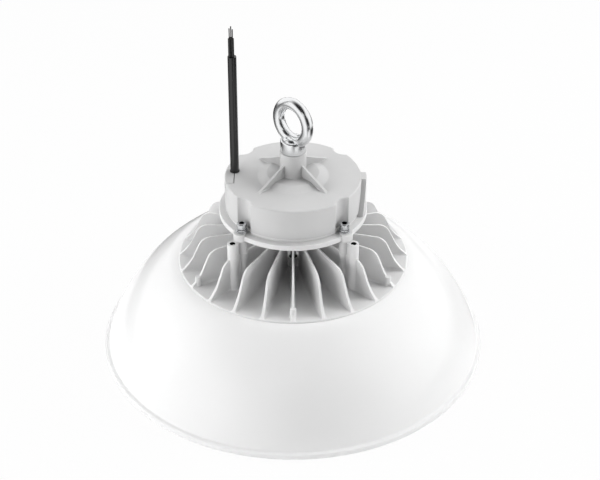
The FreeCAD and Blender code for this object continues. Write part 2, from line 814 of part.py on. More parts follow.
def driver_base():
    """Cast base: a round flange with four ears on legs, and a raised middle that closes
    the drum."""
    body = new_body("driver_base", POST_ANGLE)
    soft = D["flange_round"]
    section = sketch_on(body, "section", "XZ_Plane")
    outline(
        section,
        [
            (0.0, D["flange_bottom"]),
            (D["flange_radius"] - soft, D["flange_bottom"]),
            (D["flange_radius"], D["flange_bottom"] + soft, soft, LEFT),
            (D["flange_radius"], D["flange_top"] - soft),
            (D["flange_radius"] - soft, D["flange_top"], soft, LEFT),
            (D["plug_radius"], D["flange_top"]),
            (D["plug_radius"], D["plug_top"]),
            (0.0, D["plug_top"]),
        ],
    )
    revolve(body, "flange", section)
    ear_plan = ring_sketch(body, "ear_plan", D["ear_bottom"], D["ear_circle"], D["ear_radius"])
    ear = pad(body, "ear", ear_plan, D["ear_top"] - D["ear_bottom"])
    leg_plan = ring_sketch(body, "leg_plan", D["pillar_top"], D["pillar_circle"], D["pillar_radius"])
    leg = pad(body, "leg", leg_plan, D["flange_bottom"] + OVERLAP - D["pillar_top"])
    around(body, "ears", [ear, leg], 4)
    seat_depth = D["plug_top"] - D["ear_top"]
    seat_plan = ring_sketch(
        body, "washer_seat_plan", D["plug_top"], D["screw_circle"], D["washer_seat"]
    )
    seat = pocket(body, "washer_seat", seat_plan, seat_depth)
    around(body, "washer_seats", [seat], 4)
    drilled_ring(
        body,
        "mounting_hole",
        D["ear_top"],
        D["ear_top"] - D["pillar_top"],
        D["screw_circle"],
        D["screw_clearance"],
        4,
    )
    thickness = D["plug_top"] - D["flange_bottom"]
    lead_angle = -90.0 - POST_ANGLE
    lead_plan = ring_sketch(
        body, "lead_plan", D["plug_top"], D["lead_offset"], D["base_lead_hole"], lead_angle
    )
    pocket(body, "lead_hole", lead_plan, thickness)
    turn = D["column_turn"].value
    drilled_ring(body, "drum_hole", D["plug_top"], thickness, D["column_circle"], 2.2, 4, turn)
    below = D["flange_bottom"] - OVERLAP
    head_plan = ring_sketch(
        body, "head_seat_plan", below, D["column_circle"], D["head_seat_radius"], turn
    )
    head_seat = pocket(body, "head_seat", head_plan, D["head_seat_depth"] + OVERLAP, up=True)
    around(body, "head_seats", [head_seat], 4)
    return body


def base_gasket():
    """Flat silicone gasket between the base and the drum, notched round the screws."""
    body = new_body("base_gasket", POST_ANGLE)
    plan = sketch_on(body, "plan", "XY_Plane", D["plug_top"])
    circle(plan, 0.0, 0.0, D["plug_radius"])
    circle(plan, 0.0, 0.0, D["gasket_inner"])
    gauge = D["drum_foot"] - D["plug_top"]
    pad(body, "ring", plan, gauge)
    drilled_ring(body, "notch", D["drum_foot"], gauge, D["screw_circle"], D["washer_seat"], 4)
    return body


def drum_screws():
    """Four screws, sunk in the underside of the base, that hold the drum."""
    seat = D["flange_bottom"] + D["head_seat_depth"]
    return headed_screws(
        "drum_screws",
        D["column_circle"],
        4,
        POST_ANGLE + D["column_turn"].value,
        (D["drum_foot"] + 12, seat, D["flange_bottom"] + 0.6),
        (as_size(1.65), as_size(3.6)),
        as_size(1.6),
    )


def washers():
    """Plain washers on the ears."""
    body = new_body("flat_washers", POST_ANGLE)
    plan = ring_sketch(body, "rim_plan", D["ear_top"], D["screw_circle"], D["washer_radius"])
    circle(plan, D["screw_circle"], 0.0, 3.2)
    washer = pad(body, "washer", plan, D["washer_gauge"])
    around(body, "set", [washer], 4)
    return body


def spring_washers():
    """Split spring washers, flattened under the screw heads."""
    body = new_body("spring_washers", POST_ANGLE)
    level = D["ear_top"] + D["washer_gauge"]
    gauge = D["spring_gauge"]
    plan = ring_sketch(body, "rim_plan", level, D["screw_circle"], D["spring_radius"])
    circle(plan, D["screw_circle"], 0.0, 3.1)
    washer = pad(body, "washer", plan, gauge)
    split_plan = sketch_on(body, "split_plan", "XY_Plane", level + gauge)
    half = as_size(0.5)
    split_start = D["screw_circle"] + 2
    split_end = D["screw_circle"] + 7
    outline(
        split_plan,
        [(split_start, -half), (split_end, -half), (split_end, half), (split_start, half)],
    )
    split = pocket(body, "split", split_plan, gauge)
    around(body, "set", [washer, split], 4)
    return body


def mounting_screws():
    """Four M6 socket head cap screws, down through the ears and legs into the pillars."""
    seat = D["ear_top"] + D["washer_gauge"] + D["spring_gauge"]
    return headed_screws(
        "mounting_screws",
        D["screw_circle"],
        4,
        POST_ANGLE,
        (D["pillar_top"] - 16, seat, seat + 6.6),
        (as_size(2.55), as_size(5.0)),
        as_size(3.1),
    )


# ---------------------------------------------------------------------------------------
# Driver housing
# ---------------------------------------------------------------------------------------


def quarter_turns(corners):
    """The same stretch of outline, repeated at each quarter turn."""
    whole = []
    for _ in range(4):
        whole.extend(corners)
        corners = [(-c[1], c[0]) + tuple(c[2:]) for c in corners]
    return [(snap(c[0]), snap(c[1])) + tuple(c[2:]) for c in whole]


def driver_housing():
    """Cast drum, open below: four screw notches, a raised middle with the boss of the
    lifting eye and its four webs, a tapered lug, and the seat of the cord grip."""
    body = new_body("driver_housing", POST_ANGLE)
    square = -POST_ANGLE  # turns a sketch back to the frame's own directions
    soft = D["drum_round"]
    section = sketch_on(body, "section", "XZ_Plane")
    outline(
        section,
        [
            (0.0, D["drum_foot"]),
            (D["drum_radius"], D["drum_foot"]),
            (D["drum_radius"], D["drum_top"] - soft),
            (D["drum_radius"] - soft, D["drum_top"], soft, LEFT),
            (D["platform_foot"], D["drum_top"]),
            (D["platform_edge"], D["platform_top"]),
            (D["hub_radius"] + 1, D["platform_top"]),
            (D["hub_radius"], D["platform_top"] + 1, as_size(1), RIGHT),
            (D["hub_radius"], D["hub_top"] - 0.6),
            (D["hub_radius"] - 0.6, D["hub_top"]),
            (0.0, D["hub_top"]),
        ],
    )
    revolve(body, "drum", section)

    lug_plan = sketch_on(body, "lug_outline", "YZ_Plane", D["drum_inner"] - OVERLAP, turn=square)
    outline(
        lug_plan,
        [
            (-D["lug_half_foot"], D["lug_foot"]),
            (D["lug_half_foot"], D["lug_foot"]),
            (D["lug_half_head"], D["lug_head"]),
            (-D["lug_half_head"], D["lug_head"]),
        ],
    )
    pad(body, "lug", lug_plan, as_size(12))
    skin_plan = sketch_on(body, "lug_skin_plan", "XY_Plane", D["drum_top"] + OVERLAP)
    circle(skin_plan, 0.0, 0.0, D["lug_reach"])
    circle(skin_plan, 0.0, 0.0, D["lug_reach"] + 12)
    pocket(body, "lug_skin", skin_plan, D["drum_top"] - D["lug_foot"] + 2 * OVERLAP)
    neck_plan = sketch_on(body, "neck_plan", "XY_Plane", D["drum_foot"])
    circle(neck_plan, 0.0, 0.0, D["plug_radius"] + 0.4)
    pocket(body, "neck_space", neck_plan, D["drum_foot"] - D["lug_foot"] + OVERLAP)

    hub_webs(body)
    above = D["drum_top"] + OVERLAP
    through = D["drum_top"] - D["drum_foot"] + 2 * OVERLAP
    drilled_ring(body, "notch", above, through, D["screw_circle"], D["notch_radius"], 4)
    drum_cavity(body)
    drum_columns(body)
    grip_place(body, square)

    stud_plan = sketch_on(body, "stud_plan", "XY_Plane", D["hub_top"])
    circle(stud_plan, 0.0, 0.0, D["stud_radius"] + 0.1)
    pocket(body, "stud_hole", stud_plan, D["hub_top"] - D["stud_foot"] + 0.5)
    return body


def hub_webs(body):
    """Four triangular webs between the raised middle and the lifting eye's boss."""
    web_plan = sketch_on(body, "web_outline", "XZ_Plane")
    inside = D["hub_radius"] - OVERLAP
    outline(
        web_plan,
        [
            (inside, D["drum_top"] - OVERLAP),
            (D["web_reach"] + OVERLAP, D["drum_top"] - OVERLAP),
            (D["web_reach"] + OVERLAP, D["drum_top"]),
            (D["web_reach"], D["drum_top"]),
            (D["hub_radius"], D["web_top"]),
            (inside, D["web_top"]),
        ],
    )
    web = pad(body, "web", web_plan, D["web_gauge"], both_sides=True)
    around(body, "webs", [web], 4)


def drum_cavity(body):
    """The drum's hollow, open below; it follows the wall round each notch."""
    shell = D["drum_inner"]
    bulge = D["notch_wall"]
    far = D["screw_circle"]
    meet_x = (shell * shell - bulge * bulge + far * far) / (far * 2)
    meet_y = root(shell * shell - meet_x * meet_x)
    cavity_plan = sketch_on(body, "cavity_plan", "XY_Plane", D["drum_foot"])
    outline(
        cavity_plan,
        quarter_turns([(meet_x, -meet_y, shell, LEFT), (meet_x, meet_y, bulge, RIGHT)]),
    )
    pocket(body, "cavity", cavity_plan, D["drum_roof"] - D["drum_foot"], up=True)


def drum_columns(body):
    """Four tapped columns for the screws that come up through the base."""
    turn = D["column_turn"].value
    column_plan = ring_sketch(
        body, "column_plan", D["drum_foot"], D["column_circle"], D["column_radius"], turn
    )
    column = pad(body, "column", column_plan, D["drum_roof"] - D["drum_foot"] + OVERLAP)
    around(body, "columns", [column], 4)
    below = D["drum_foot"] - OVERLAP
    tap_plan = ring_sketch(body, "tap_plan", below, D["column_circle"], 1.7, turn)
    tap = pocket(body, "tap", tap_plan, as_size(14) + OVERLAP, up=True)
    around(body, "taps", [tap], 4)


def grip_place(body, square):
    """A thick place in the wall, with the seat of the cord grip, its tapped holes and the
    cord's hole."""
    left = -D["grip_face"]
    back = D["cord_back"]
    block_plan = sketch_on(body, "grip_block_plan", "XY_Plane", D["grip_bottom"] - 3, turn=square)
    outline(
        block_plan,
        [
            (left - 2, back - D["grip_half"] + 2),
            (left + 9, back - D["grip_half"] + 2),
            (left + 9, back + D["grip_half"] - 2),
            (left - 2, back + D["grip_half"] - 2),
        ],
    )
    pad(body, "grip_block", block_plan, D["drum_roof"] - D["grip_bottom"] + 3 + OVERLAP)
    seat_plan = sketch_on(body, "grip_seat_plan", "XY_Plane", D["drum_top"] + OVERLAP, turn=square)
    outline(
        seat_plan,
        [
            (left - 15, back - D["grip_half"]),
            (left, back - D["grip_half"]),
            (left, back + D["grip_half"]),
            (left - 15, back + D["grip_half"]),
        ],
    )
    pocket(body, "grip_seat", seat_plan, D["drum_top"] - D["grip_bottom"] + OVERLAP)
    cord_plan = sketch_on(body, "cord_hole_plan", "XY_Plane", D["drum_top"] + OVERLAP, turn=square)
    circle(cord_plan, -D["cord_left"], back, D["bush_radius"])
    pocket(body, "cord_hole", cord_plan, D["drum_top"] - D["grip_bottom"] + 6)

    for name, across in grip_screw_places():
        screw_plan = sketch_on(body, f"grip_tap_{name}_plan", "YZ_Plane", left, turn=square)
        circle(screw_plan, across, D["grip_screw_level"], 1.5)
        pocket(body, f"grip_tap_{name}", screw_plan, as_size(7), up=True)


def grip_screw_places():
    """The grip's two screws: a name and how far behind the axis each one is."""
    near = D["cord_back"] - D["grip_screw_reach"]
    far = D["cord_back"] + D["grip_screw_reach"]
    return (("near", near), ("far", far))


def cord_grip():
    """Block that closes on the cord from the drum's left side, flush with its skin."""
    body = new_body("cord_grip")
    left = -D["grip_face"] - D["grip_gap"]
    back = D["cord_back"]
    slack = D["grip_slack"]
    bottom = D["grip_bottom"] + 0.2
    plan = sketch_on(body, "plan", "XY_Plane", bottom)
    outline(
        plan,
        [
            (left - 14, back - D["grip_half"] + slack),
            (left, back - D["grip_half"] + slack),
            (left, back + D["grip_half"] - slack),
            (left - 14, back + D["grip_half"] - slack),
        ],
    )
    pad(body, "block", plan, D["drum_top"] - bottom)
    skin = sketch_on(body, "skin_plan", "XY_Plane", D["drum_top"] + OVERLAP)
    circle(skin, 0.0, 0.0, D["drum_radius"])
    circle(skin, 0.0, 0.0, D["drum_radius"] + 30)
    pocket(body, "skin", skin, D["drum_top"] - D["grip_bottom"] + 2 * OVERLAP)
    cord_plan = sketch_on(body, "cord_plan", "XY_Plane", D["drum_top"] + OVERLAP)
    circle(cord_plan, -D["cord_left"], back, D["bush_radius"])
    pocket(body, "cord_groove", cord_plan, D["drum_top"] - D["grip_bottom"] + 2 * OVERLAP)
    level = D["grip_screw_level"]
    for name, across in grip_screw_places():
        screw_plan = sketch_on(body, f"screw_{name}_plan", "YZ_Plane", left)
        circle(screw_plan, across, level, 1.9)
        pocket(body, f"screw_{name}", screw_plan, as_size(14))
        head_plan = sketch_on(body, f"head_{name}_plan", "YZ_Plane", left - D["grip_screw_wall"])
        circle(head_plan, across, level, 3.4)
        pocket(body, f"head_{name}", head_plan, as_size(14))
    return body


def grip_screws():
    """Two cap screws that pull the grip towards the drum, sunk below its skin."""
    body = new_body("cord_grip_screws")
    seat = -D["grip_face"] - D["grip_gap"] - D["grip_screw_wall"]
    level = D["grip_screw_level"]
    for name, across in grip_screw_places():
        shank_plan = sketch_on(body, f"shank_{name}_plan", "YZ_Plane", seat)
        circle(shank_plan, across, level, 1.45)
        pad(body, f"shank_{name}", shank_plan, as_size(8))
        head_plan = sketch_on(body, f"head_{name}_plan", "YZ_Plane", seat)
        circle(head_plan, across, level, 2.8)
        pad(body, f"head_{name}", head_plan, as_size(2.4), down=True)
    return body


# ---------------------------------------------------------------------------------------
# Lifting eye
# ---------------------------------------------------------------------------------------


def eye_bolt():
    """Forged and polished lifting eye: stud, collar and ring in one."""
    body = new_body("eye_bolt", -POST_ANGLE)
    section = sketch_on(body, "section", "XZ_Plane")
    rim = D["collar_eye_radius"]
    outline(
        section,
        [
            (0.0, D["stud_foot"]),
            (D["stud_radius"] - 1, D["stud_foot"]),
            (D["stud_radius"], D["stud_foot"] + 1),
            (D["stud_radius"], D["hub_top"]),
            (rim - 0.8, D["hub_top"]),
            (rim, D["hub_top"] + 0.8, as_size(0.8), LEFT),
            (rim, D["collar_eye_top"] - 1.6),
            (rim - 1.6, D["collar_eye_top"], as_size(1.6), LEFT),
            (as_size(8), D["collar_eye_top"] + 1.2),
            (0.0, D["collar_eye_top"] + 1.2),
        ],
    )
    revolve(body, "turned", section)
    ring_section = sketch_on(body, "ring_section", "XY_Plane", D["eye_centre"])
    circle(ring_section, D["eye_radius"], 0.0, D["eye_section"])
    ring = body.newObject("PartDesign::Revolution", "ring")
    ring.Profile = ring_section
    ring.ReferenceAxis = (ring_section, ["V_Axis"])
    ring.Angle = FULL_TURN
    return body


# ---------------------------------------------------------------------------------------
# Inside the drum
# ---------------------------------------------------------------------------------------

DRIVER_LEFT = -34.0
DRIVER_FRONT = -6.0
DRIVER_WIDE = 76.0
DRIVER_DEEP = 46.0
DRIVER_TALL = 24.0
BLOCK_LEFT = -51.0
BLOCK_FRONT = -31.0
BLOCK_WIDE = 22.0
BLOCK_DEEP = 14.0
BLOCK_TALL = 15.0


def rounded_box(name, left, front, wide, deep, tall, radius):
    """A box that stands on the driver base, its upright edges rounded."""
    body = new_body(name)
    plan = sketch_on(body, "plan", "XY_Plane", D["plug_top"])
    right = left + wide
    back = front + deep
    outline(
        plan,
        [
            (left + radius, front, as_size(radius), LEFT),
            (right - radius, front),
            (right, front + radius, as_size(radius), LEFT),
            (right, back - radius),
            (right - radius, back, as_size(radius), LEFT),
            (left + radius, back),
            (left, back - radius, as_size(radius), LEFT),
            (left, front + radius),
        ],
    )
    pad(body, "block", plan, as_size(tall))
    return body


def led_driver():
    """Potted LED driver: one sealed pack."""
    return rounded_box(
        "led_driver", DRIVER_LEFT, DRIVER_FRONT, DRIVER_WIDE, DRIVER_DEEP, DRIVER_TALL, 3.0
    )


def terminal_block():
    """Terminal block between the mains cores and the driver."""
    return rounded_box(
        "terminal_block", BLOCK_LEFT, BLOCK_FRONT, BLOCK_WIDE, BLOCK_DEEP, BLOCK_TALL, 1.0
    )


def tube(points, bends, radius):
    """A round wire through points: straight runs joined by tangent arcs of the given radii."""
    edges = []
    start = points[0]
    for corner, following, bend in zip(points[1:-1], points[2:], bends):
        arriving = (corner - start).normalize()
        leaving = (following - corner).normalize()
        turn = arriving.getAngle(leaving)
        trim = bend * math.tan(turn / 2)
        entry = corner - arriving * trim
        departure = corner + leaving * trim
        towards = (leaving - arriving).normalize()
        middle = corner + towards * (bend / math.cos(turn / 2) - bend)
        edges.append(Part.LineSegment(start, entry).toShape())
        edges.append(Part.Arc(entry, middle, departure).toShape())
        start = departure
    edges.append(Part.LineSegment(start, points[-1]).toShape())
    path = Part.Wire(edges)
    heading = (points[1] - points[0]).normalize()
    profile = Part.Wire([Part.Circle(points[0], heading, radius).toShape()])
    solid = path.makePipeShell([profile], True, True, 2)
    return Part.Solid(solid) if solid.ShapeType == "Shell" else solid


def wire_group(name, shapes):
    """Wires as one node.  They are free-form sweeps, so the shape is set directly."""
    feature = DOCUMENT.addObject("Part::Feature", name)
    feature.Label = name
    feature.Shape = Part.makeCompound(shapes) if len(shapes) > 1 else shapes[0]
    feature.Placement = Placement()
    return feature


def led_lead():
    """Lead of the LEDs: up out of the heat sink, through the base and into the driver."""
    low = Vector(0, -D["lead_offset"].value, (D["board_pocket_roof"] - D["pad_gauge"]).value)
    high = Vector(low.x, low.y, D["plug_top"].value + 12)
    driver = Vector(0, DRIVER_FRONT, high.z)
    return wire_group("led_lead", [tube([low, high, driver], [6.0], D["lead_radius"].value)])


def sleeve(name, radii, levels, x, y):
    """A rubber sleeve with a collar on its upper end.

    radii are those of the bore, the sleeve and the collar; levels are the heights of the
    foot, the collar's seat and its top.
    """
    body = new_body(name)
    bore, outside, collar = radii
    bottom, seat, top = levels
    bevel = 0.5
    section = sketch_on(body, "section", "XZ_Plane")
    outline(
        section,
        [
            (bore, bottom),
            (outside, bottom),
            (outside, seat),
            (collar, seat),
            (collar, top - bevel),
            (collar - bevel, top),
            (bore, top),
        ],
    )
    revolve(body, "turned", section)
    body.setExpression("Placement.Base.x", x.formula)
    body.setExpression("Placement.Base.y", y.formula)
    return body


def lead_grommets():
    """Rubber grommets round the lead: one sunk in the heat sink's hollow boss, one with a
    collar in the driver base."""
    front = -D["lead_offset"]
    bore = D["lead_radius"] + 0.05
    foot = D["board_pocket_roof"] + OVERLAP
    lower = ring_between("heat_sink_grommet", foot, D["lead_boss_top"] - 0.6, bore, D["lead_bore"])
    lower.setExpression("Placement.Base.y", front.formula)
    levels = (D["flange_bottom"], D["plug_top"], D["plug_top"] + 2.0)
    radii = (bore, D["base_lead_hole"], D["base_lead_hole"] + 1.4)
    sleeve("base_grommet", radii, levels, ZERO, front)


def cable_bush():
    """Rubber bush between the cord and its grip."""
    radii = (D["cord_radius"], D["bush_radius"], D["collar_radius"])
    levels = (D["grip_bottom"] + 0.4, D["drum_top"], D["collar_top"])
    return sleeve("cable_bush", radii, levels, -D["cord_left"], D["cord_back"])


CORE_SPOTS = {
    "live": (-2.1, -0.9),
    "neutral": (1.0, -0.9),
    "earth": (-0.55, 1.75),
}


def upright_rod(name, radius, bottom, top, x, y):
    """A plain upright cylinder, driven by the spreadsheet."""
    rod = DOCUMENT.addObject("Part::Cylinder", name)
    rod.Label = name
    rod.setExpression("Radius", radius.formula)
    rod.setExpression("Height", (top - bottom).formula)
    rod.setExpression("Placement.Base.x", x.formula)
    rod.setExpression("Placement.Base.y", y.formula)
    rod.setExpression("Placement.Base.z", bottom.formula)
    return rod


def cable():
    """The cord: a straight jacket from the bush up, and inside the drum its end, the cores
    and the bare wires that are stripped at the top."""
    x = -D["cord_left"]
    y = D["cord_back"]
    upright_rod("cable_jacket", D["cord_radius"], D["drum_top"], D["cord_top"], x, y)
    upright_rod("cable_inner_end", D["cord_radius"], D["grip_foot"], D["drum_top"], x, y)
    extra = {"live": 0.5, "neutral": -0.5, "earth": 1.5}
    for name, (dx, dy) in CORE_SPOTS.items():
        core_x = x + dx
        core_y = y + dy
        upright_rod(f"{name}_core", D["core_radius"], D["cord_top"], D["core_top"], core_x, core_y)
        wire_end = D["wire_top"] + extra[name]
        upright_rod(f"{name}_wire", D["wire_radius"], D["core_top"], wire_end, core_x, core_y)


def inner_wiring():
    """Mains cores from the cord to the terminal block, and on to the driver."""
    cord_x = -D["cord_left"].value
    cord_y = D["cord_back"].value
    foot = D["grip_foot"].value
    entry_y = BLOCK_FRONT + BLOCK_DEEP
    level = D["plug_top"].value + 6
    mains = []
    for (dx, dy), across in zip(CORE_SPOTS.values(), (-48.0, -40.0, -44.0)):
        start = Vector(cord_x + dx, cord_y + dy, foot)
        below = Vector(start.x, start.y, level + (2.2 if across == -44.0 else 0.0))
        turn_point = Vector(across, entry_y + 8, below.z)
        end = Vector(across, entry_y, below.z)
        mains.append(tube([start, below, turn_point, end], [2.6, 5.0], 1.0))
    wire_group("mains_leads", mains)
    supply = []
    for lift, across in ((2.5, -24.5), (6.0, -21.5)):
        z = D["plug_top"].value + lift
        start = Vector(across, DRIVER_FRONT, z)
        corner = Vector(across, BLOCK_FRONT + BLOCK_DEEP / 2, z)
        end = Vector(BLOCK_LEFT + BLOCK_WIDE, corner.y, z)
        supply.append(tube([start, corner, end], [3.0], 0.9))
    wire_group("driver_leads", supply)


# ---------------------------------------------------------------------------------------
# Build, test and write
# ---------------------------------------------------------------------------------------


def sub_parts():
    """Every object that is written out: bodies, plain rods and wire groups."""
    kinds = ("PartDesign::Body", "Part::Cylinder", "Part::Feature")
    return [thing for thing in DOCUMENT.Objects if thing.TypeId in kinds]


def check_document():
    """Stop if any object failed, or any sub-part has no valid shape."""
    for thing in DOCUMENT.Objects:
        if "Invalid" in thing.State or "Error" in thing.State:
            raise RuntimeError(f"{thing.Name} failed: {thing.State}")
    for part in sub_parts():
        if part.Shape.isNull() or not part.Shape.isValid() or not part.Shape.Solids:
            raise RuntimeError(f"{part.Label} has no valid solid")


def main():
    """Build every sub-part, check them, and write one STEP file for each."""
    reflector()
    reflector_screws()
    heat_sink()
    thermal_pad()
    led_board()
    led_chips()
    board_screws()
    lens_gasket()
    glass_cover()
    lens_ring()
    lens_ring_screws()
    driver_base()
    base_gasket()
    drum_screws()
    washers()
    spring_washers()
    mounting_screws()
    driver_housing()
    cord_grip()
    grip_screws()
    eye_bolt()
    led_driver()
    terminal_block()
    led_lead()
    lead_grommets()
    cable_bush()
    cable()
    inner_wiring()
    DOCUMENT.recompute()
    check_document()
    os.makedirs("parts", exist_ok=True)
    for part in sub_parts():
        part.Shape.exportStep(os.path.join("parts", f"{part.Label}.step"))
        solids = len(part.Shape.Solids)
        print(f"{part.Label}: {solids} solid(s), {part.Shape.Volume / 1000:.2f} cm3")


main()
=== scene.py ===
import logging
import math
from dataclasses import dataclass
from enum import Enum
from typing import Callable, Iterable, Sequence

import bmesh
import bpy
from mathutils import Matrix, Vector


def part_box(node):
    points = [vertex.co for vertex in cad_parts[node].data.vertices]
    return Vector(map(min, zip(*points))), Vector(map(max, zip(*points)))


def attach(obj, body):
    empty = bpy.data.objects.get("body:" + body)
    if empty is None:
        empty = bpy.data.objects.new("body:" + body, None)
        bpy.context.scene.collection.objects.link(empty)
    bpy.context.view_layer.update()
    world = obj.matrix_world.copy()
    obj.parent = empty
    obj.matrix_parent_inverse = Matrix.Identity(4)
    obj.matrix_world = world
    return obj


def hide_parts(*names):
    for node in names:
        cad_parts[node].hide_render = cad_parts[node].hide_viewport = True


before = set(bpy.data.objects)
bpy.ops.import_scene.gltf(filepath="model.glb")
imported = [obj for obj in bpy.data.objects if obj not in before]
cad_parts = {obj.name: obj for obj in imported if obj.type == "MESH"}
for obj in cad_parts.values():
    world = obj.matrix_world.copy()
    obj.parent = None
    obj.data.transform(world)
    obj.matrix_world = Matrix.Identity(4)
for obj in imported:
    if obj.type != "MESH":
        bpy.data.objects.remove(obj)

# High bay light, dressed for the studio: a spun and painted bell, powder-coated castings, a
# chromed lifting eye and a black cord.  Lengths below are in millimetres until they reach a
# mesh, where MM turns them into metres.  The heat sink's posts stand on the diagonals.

LOG = logging.getLogger("high_bay_light")
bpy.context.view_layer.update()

MM = 0.001
FULL_TURN = 2 * math.pi
WHITE = (1.0, 1.0, 1.0, 1.0)
# Vertices closer than this, in metres, become one.
MERGE = 1e-7
# How far off a height, width or radius a point may lie and still count as on it.
SLACK = 0.01
# Edges steeper than this many degrees stay sharp.
SHARP = 40.0
# How deep a raised part is sunk into what carries it, and how far long parts run on inside it.
SUNK = 0.5
OVERLAP = 1.0
# Angle of the first of four diagonals.
DIAGONAL = 45.0
# The colour sockets of a Mix node, by number.
MIX_FIRST, MIX_SECOND, MIX_RESULT = 6, 7, 2
# Where the crest's painted highlight and the hole's painted shade stand in a casting's list.
CREST_SLOT, HOLE_SHADE_SLOT = 1, 2

# Sizes that several pieces share.
DRUM_RADIUS = 72.0
DRUM_TOP = 209.0
DRUM_ROUNDING = 1.8
NECK_HEIGHT = 107.6
SHOULDER_START = 118.4
SHOULDER_BEND = 32.5
PILLAR_CIRCLE = 74.6
PILLAR_RADIUS = 4.9
PILLAR_TOP = 147.0
BOSS_CIRCLE = 115.2
BUSH_RADIUS = 4.7

Point = tuple[float, float]
Place = tuple[float, float, float]
Profile = list[Point]
Colour = tuple[float, float, float, float]

CORD_SPOT: Point = (-61.5, 8.5)


# ---------------------------------------------------------------------------------------
# Finishes
# ---------------------------------------------------------------------------------------


def linear(hex_colour: str) -> Colour:
    """Turn an sRGB hex colour into linear light.

    Args:
        hex_colour: six hex digits.

    Returns:
        Red, green, blue and alpha, each 0 to 1.
    """
    channels = [int(hex_colour[i : i + 2], 16) / 255 for i in (0, 2, 4)]
    straight = [c / 12.92 if c <= 0.04045 else ((c + 0.055) / 1.055) ** 2.4 for c in channels]
    return (*straight, 1.0)


def per_metre(period_mm: float) -> float:
    """Texture scale on object coordinates for a pattern of this period."""
    return 1.0 / (period_mm * MM)


def fresh_tree(owner: bpy.types.Material | bpy.types.World) -> bpy.types.NodeTree:
    """Give a material or the world an empty node tree.

    Args:
        owner: the material or the world.

    Returns:
        Its node tree.
    """
    owner.use_nodes = True
    owner.node_tree.nodes.clear()
    return owner.node_tree


def add_node(
    tree: bpy.types.NodeTree,
    kind: str,
    settings: dict[str | int, object] | None = None,
    links: dict[str | int, bpy.types.NodeSocket] | None = None,
) -> bpy.types.Node:
    """Add a shader node.

    Args:
        tree: the node tree.
        kind: the node's type name.
        settings: values by socket name or number, or by property where no socket has the name.
        links: input socket name or number to the output socket that feeds it.

    Returns:
        The node.
    """
    node = tree.nodes.new(kind)
    for name, value in (settings or {}).items():
        if isinstance(name, int) or name in node.inputs:
            node.inputs[name].default_value = value
        else:
            setattr(node, name, value)
    for name, source in (links or {}).items():
        tree.links.new(source, node.inputs[name])
    return node


